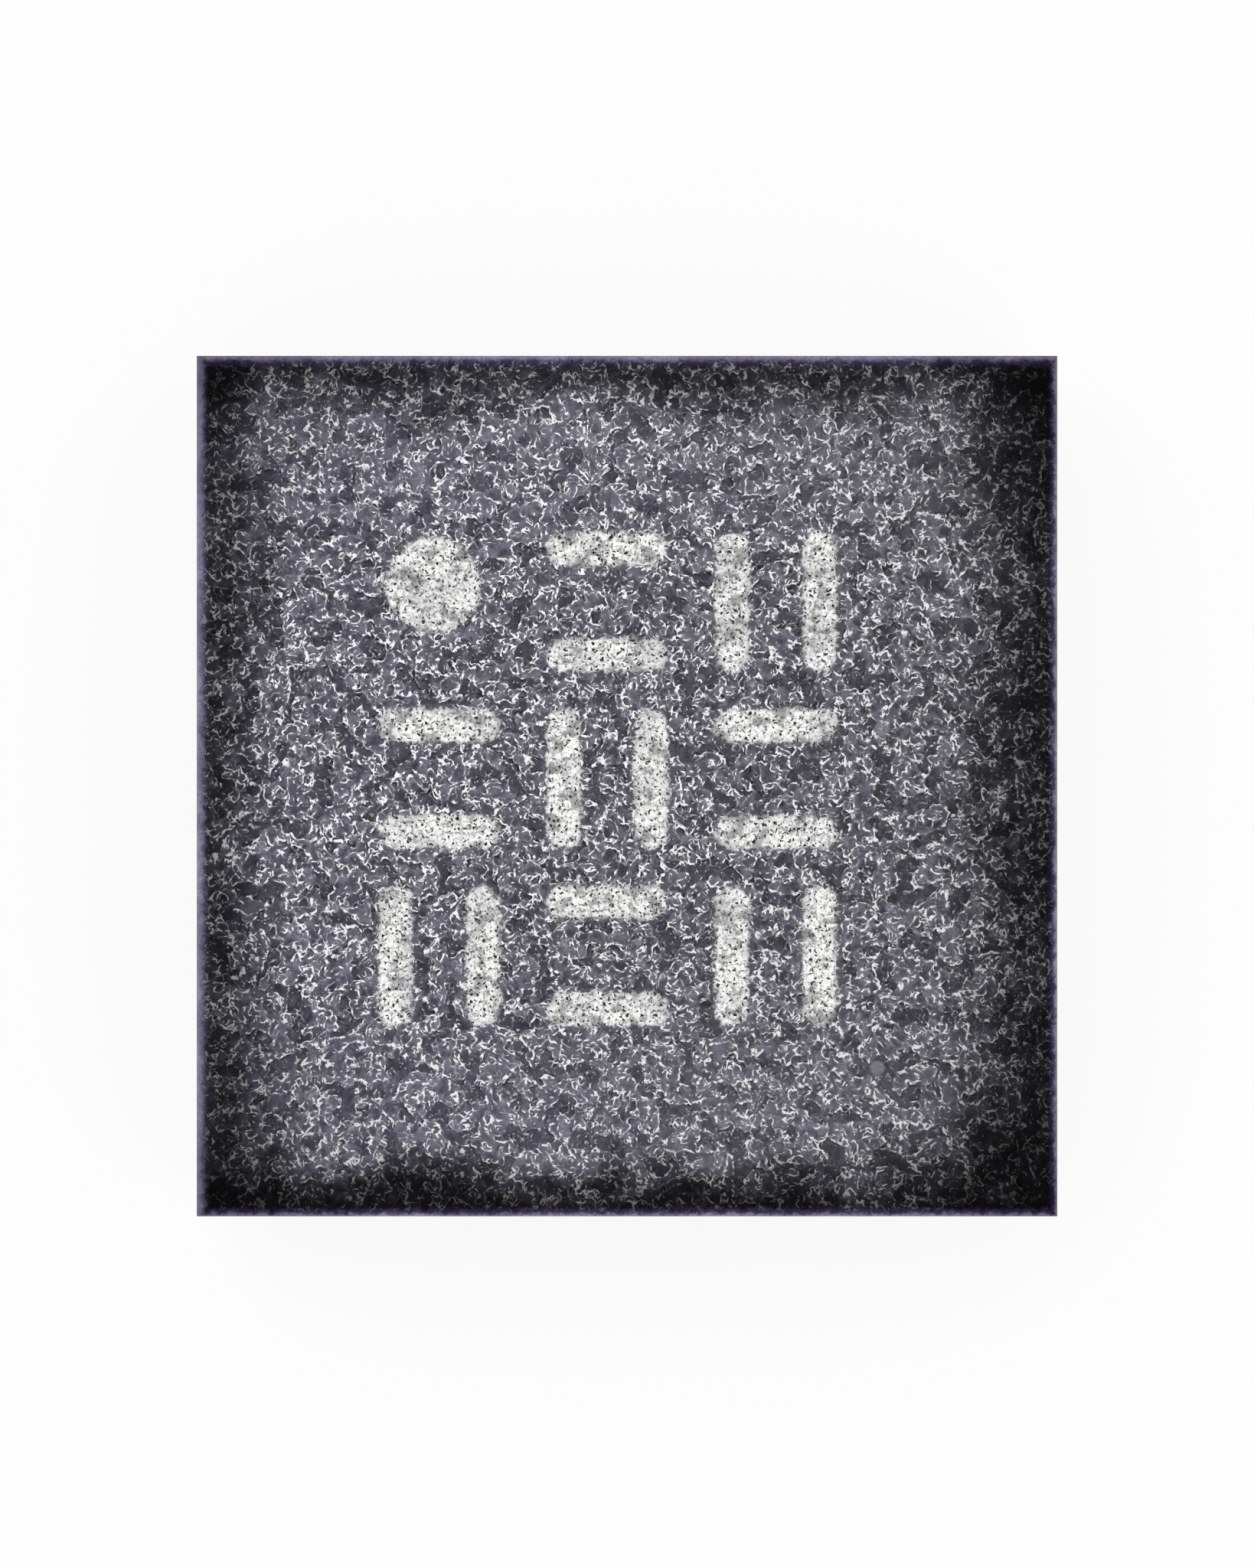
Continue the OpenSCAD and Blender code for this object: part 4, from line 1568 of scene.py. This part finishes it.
@dataclass
class Studio:
    """Pale floor, soft light and a camera that looks straight down. In metres, the lens in millimetres."""

    floor_side: float = 60 * MM
    floor_hole: float = 0.999
    floor_colour: Colour = paint(254, 254, 254)
    floor_roughness: float = 0.9
    floor_glow: float = 0.85
    suns: tuple[Sun, ...] = (Sun("key_light", 0.75, (-0.5, 0.6, 1.6), 0.9),
                             Sun("fill_light", 0.45, (0.7, -0.3, 1.4), 1.2))
    ambient: float = 0.62
    backdrop: Colour = (1.0, 1.0, 1.0, 1.0)
    picture_height: float = 5.461 * MM
    picture_up: float = 0.0073 * MM
    lens: float = 100.0
    sensor: float = 36.0
    clip_start: float = 0.1 * MM

    def build(self) -> None:
        """Set the floor, the lights, the surroundings and the camera up."""
        self.floor()
        for sun in self.suns:
            self.light(sun)
        self.surroundings()
        self.camera()
        bpy.context.scene.view_settings.view_transform = "Standard"

    def floor(self) -> None:
        """Lay the floor, open under the chip and see-through from below."""
        low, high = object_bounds()
        shape = bmesh.new()
        bmesh.ops.create_grid(shape, x_segments=1, y_segments=1, size=self.floor_side / 2)
        margin = self.floor_side / 2 - self.floor_hole * high.x
        bmesh.ops.inset_individual(shape, faces=shape.faces, thickness=margin, use_even_offset=True)
        bmesh.ops.delete(shape, geom=[min(shape.faces, key=lambda face: face.calc_area())], context="FACES")
        bmesh.ops.translate(shape, verts=shape.verts, vec=(0, 0, low.z - UM))
        floor = new_piece("floor", shape)
        floor.data.materials.append(self.floor_material())
        floor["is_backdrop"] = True

    def floor_material(self) -> Material:
        """Make the floor's material.

        Returns:
            The material, white to the camera and with the chip's shadow.
        """
        dress = Dressing("pale_floor", 0.0)
        dress.finish(self.floor_colour, self.floor_roughness)
        glow = dress.product(dress.seen("Is Camera Ray", "Is Glossy Ray"), self.floor_glow)
        lit = dress.node("ShaderNodeMixShader")
        through = dress.node("ShaderNodeMixShader")
        behind = dress.node("ShaderNodeNewGeometry").outputs["Backfacing"]
        lamp = dress.node("ShaderNodeEmission").outputs[0]
        clear = dress.node("ShaderNodeBsdfTransparent").outputs[0]
        for mixer, parts in ((lit, (glow, dress.surface.outputs[0], lamp)),
                             (through, (behind, lit.outputs[0], clear))):
            for socket, part in zip(mixer.inputs, parts):
                dress.feed(socket, part)
        dress.feed(dress.tree.nodes["Material Output"].inputs[0], through.outputs[0])
        return dress.material

    def light(self, sun: Sun) -> None:
        """Add a soft distant lamp.

        Args:
            sun: What the lamp is like.
        """
        lamp = bpy.data.lights.new(sun.name, "SUN")
        lamp.energy = sun.strength
        lamp.angle = sun.spread
        holder = bpy.data.objects.new(sun.name, lamp)
        holder.rotation_mode = "QUATERNION"
        holder.rotation_quaternion = Vector(sun.towards).to_track_quat("Z", "Y")
        bpy.context.scene.collection.objects.link(holder)

    def surroundings(self) -> None:
        """Light the chip evenly from all round, and show white behind it."""
        world = bpy.data.worlds.new("studio")
        world.use_nodes = True
        bpy.context.scene.world = world
        wiring = Wiring(world.node_tree)
        glow = wiring.tree.nodes["Background"]
        glow.inputs["Color"].default_value = self.backdrop
        seen = wiring.seen("Is Camera Ray", "Is Glossy Ray", "Is Transmission Ray")
        wiring.feed(glow.inputs["Strength"], wiring.ramp(seen, Step(0.0, 1.0, self.ambient, 1.0)))

    def camera(self) -> None:
        """Hold the camera straight over the chip, with the photograph's framing."""
        eye = bpy.data.cameras.new("camera")
        eye.lens = self.lens
        eye.sensor_width = self.sensor
        eye.clip_start = self.clip_start
        holder = bpy.data.objects.new("camera", eye)
        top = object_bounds()[1].z
        holder.location = (0, self.picture_up, top + self.picture_height * self.lens / self.sensor)
        bpy.context.scene.collection.objects.link(holder)
        bpy.context.scene.camera = holder


def main() -> None:
    """Build the chip's looks and set the studio up around it."""
    logging.basicConfig(level=logging.INFO, format="%(name)s: %(message)s")
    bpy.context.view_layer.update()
    mould = Mould().build()
    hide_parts("mould_body")
    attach(mould, BODY)
    log.info("%s has %d faces", mould.name, len(mould.data.polygons))
    for pad in Substrate().build():
        log.info("%s has %d faces", pad.name, len(pad.data.polygons))
    DieStack().build()
    WireBonds().build()
    log.info("dies and wires are dressed")
    Studio().build()


if __name__ == "__main__":
    main()
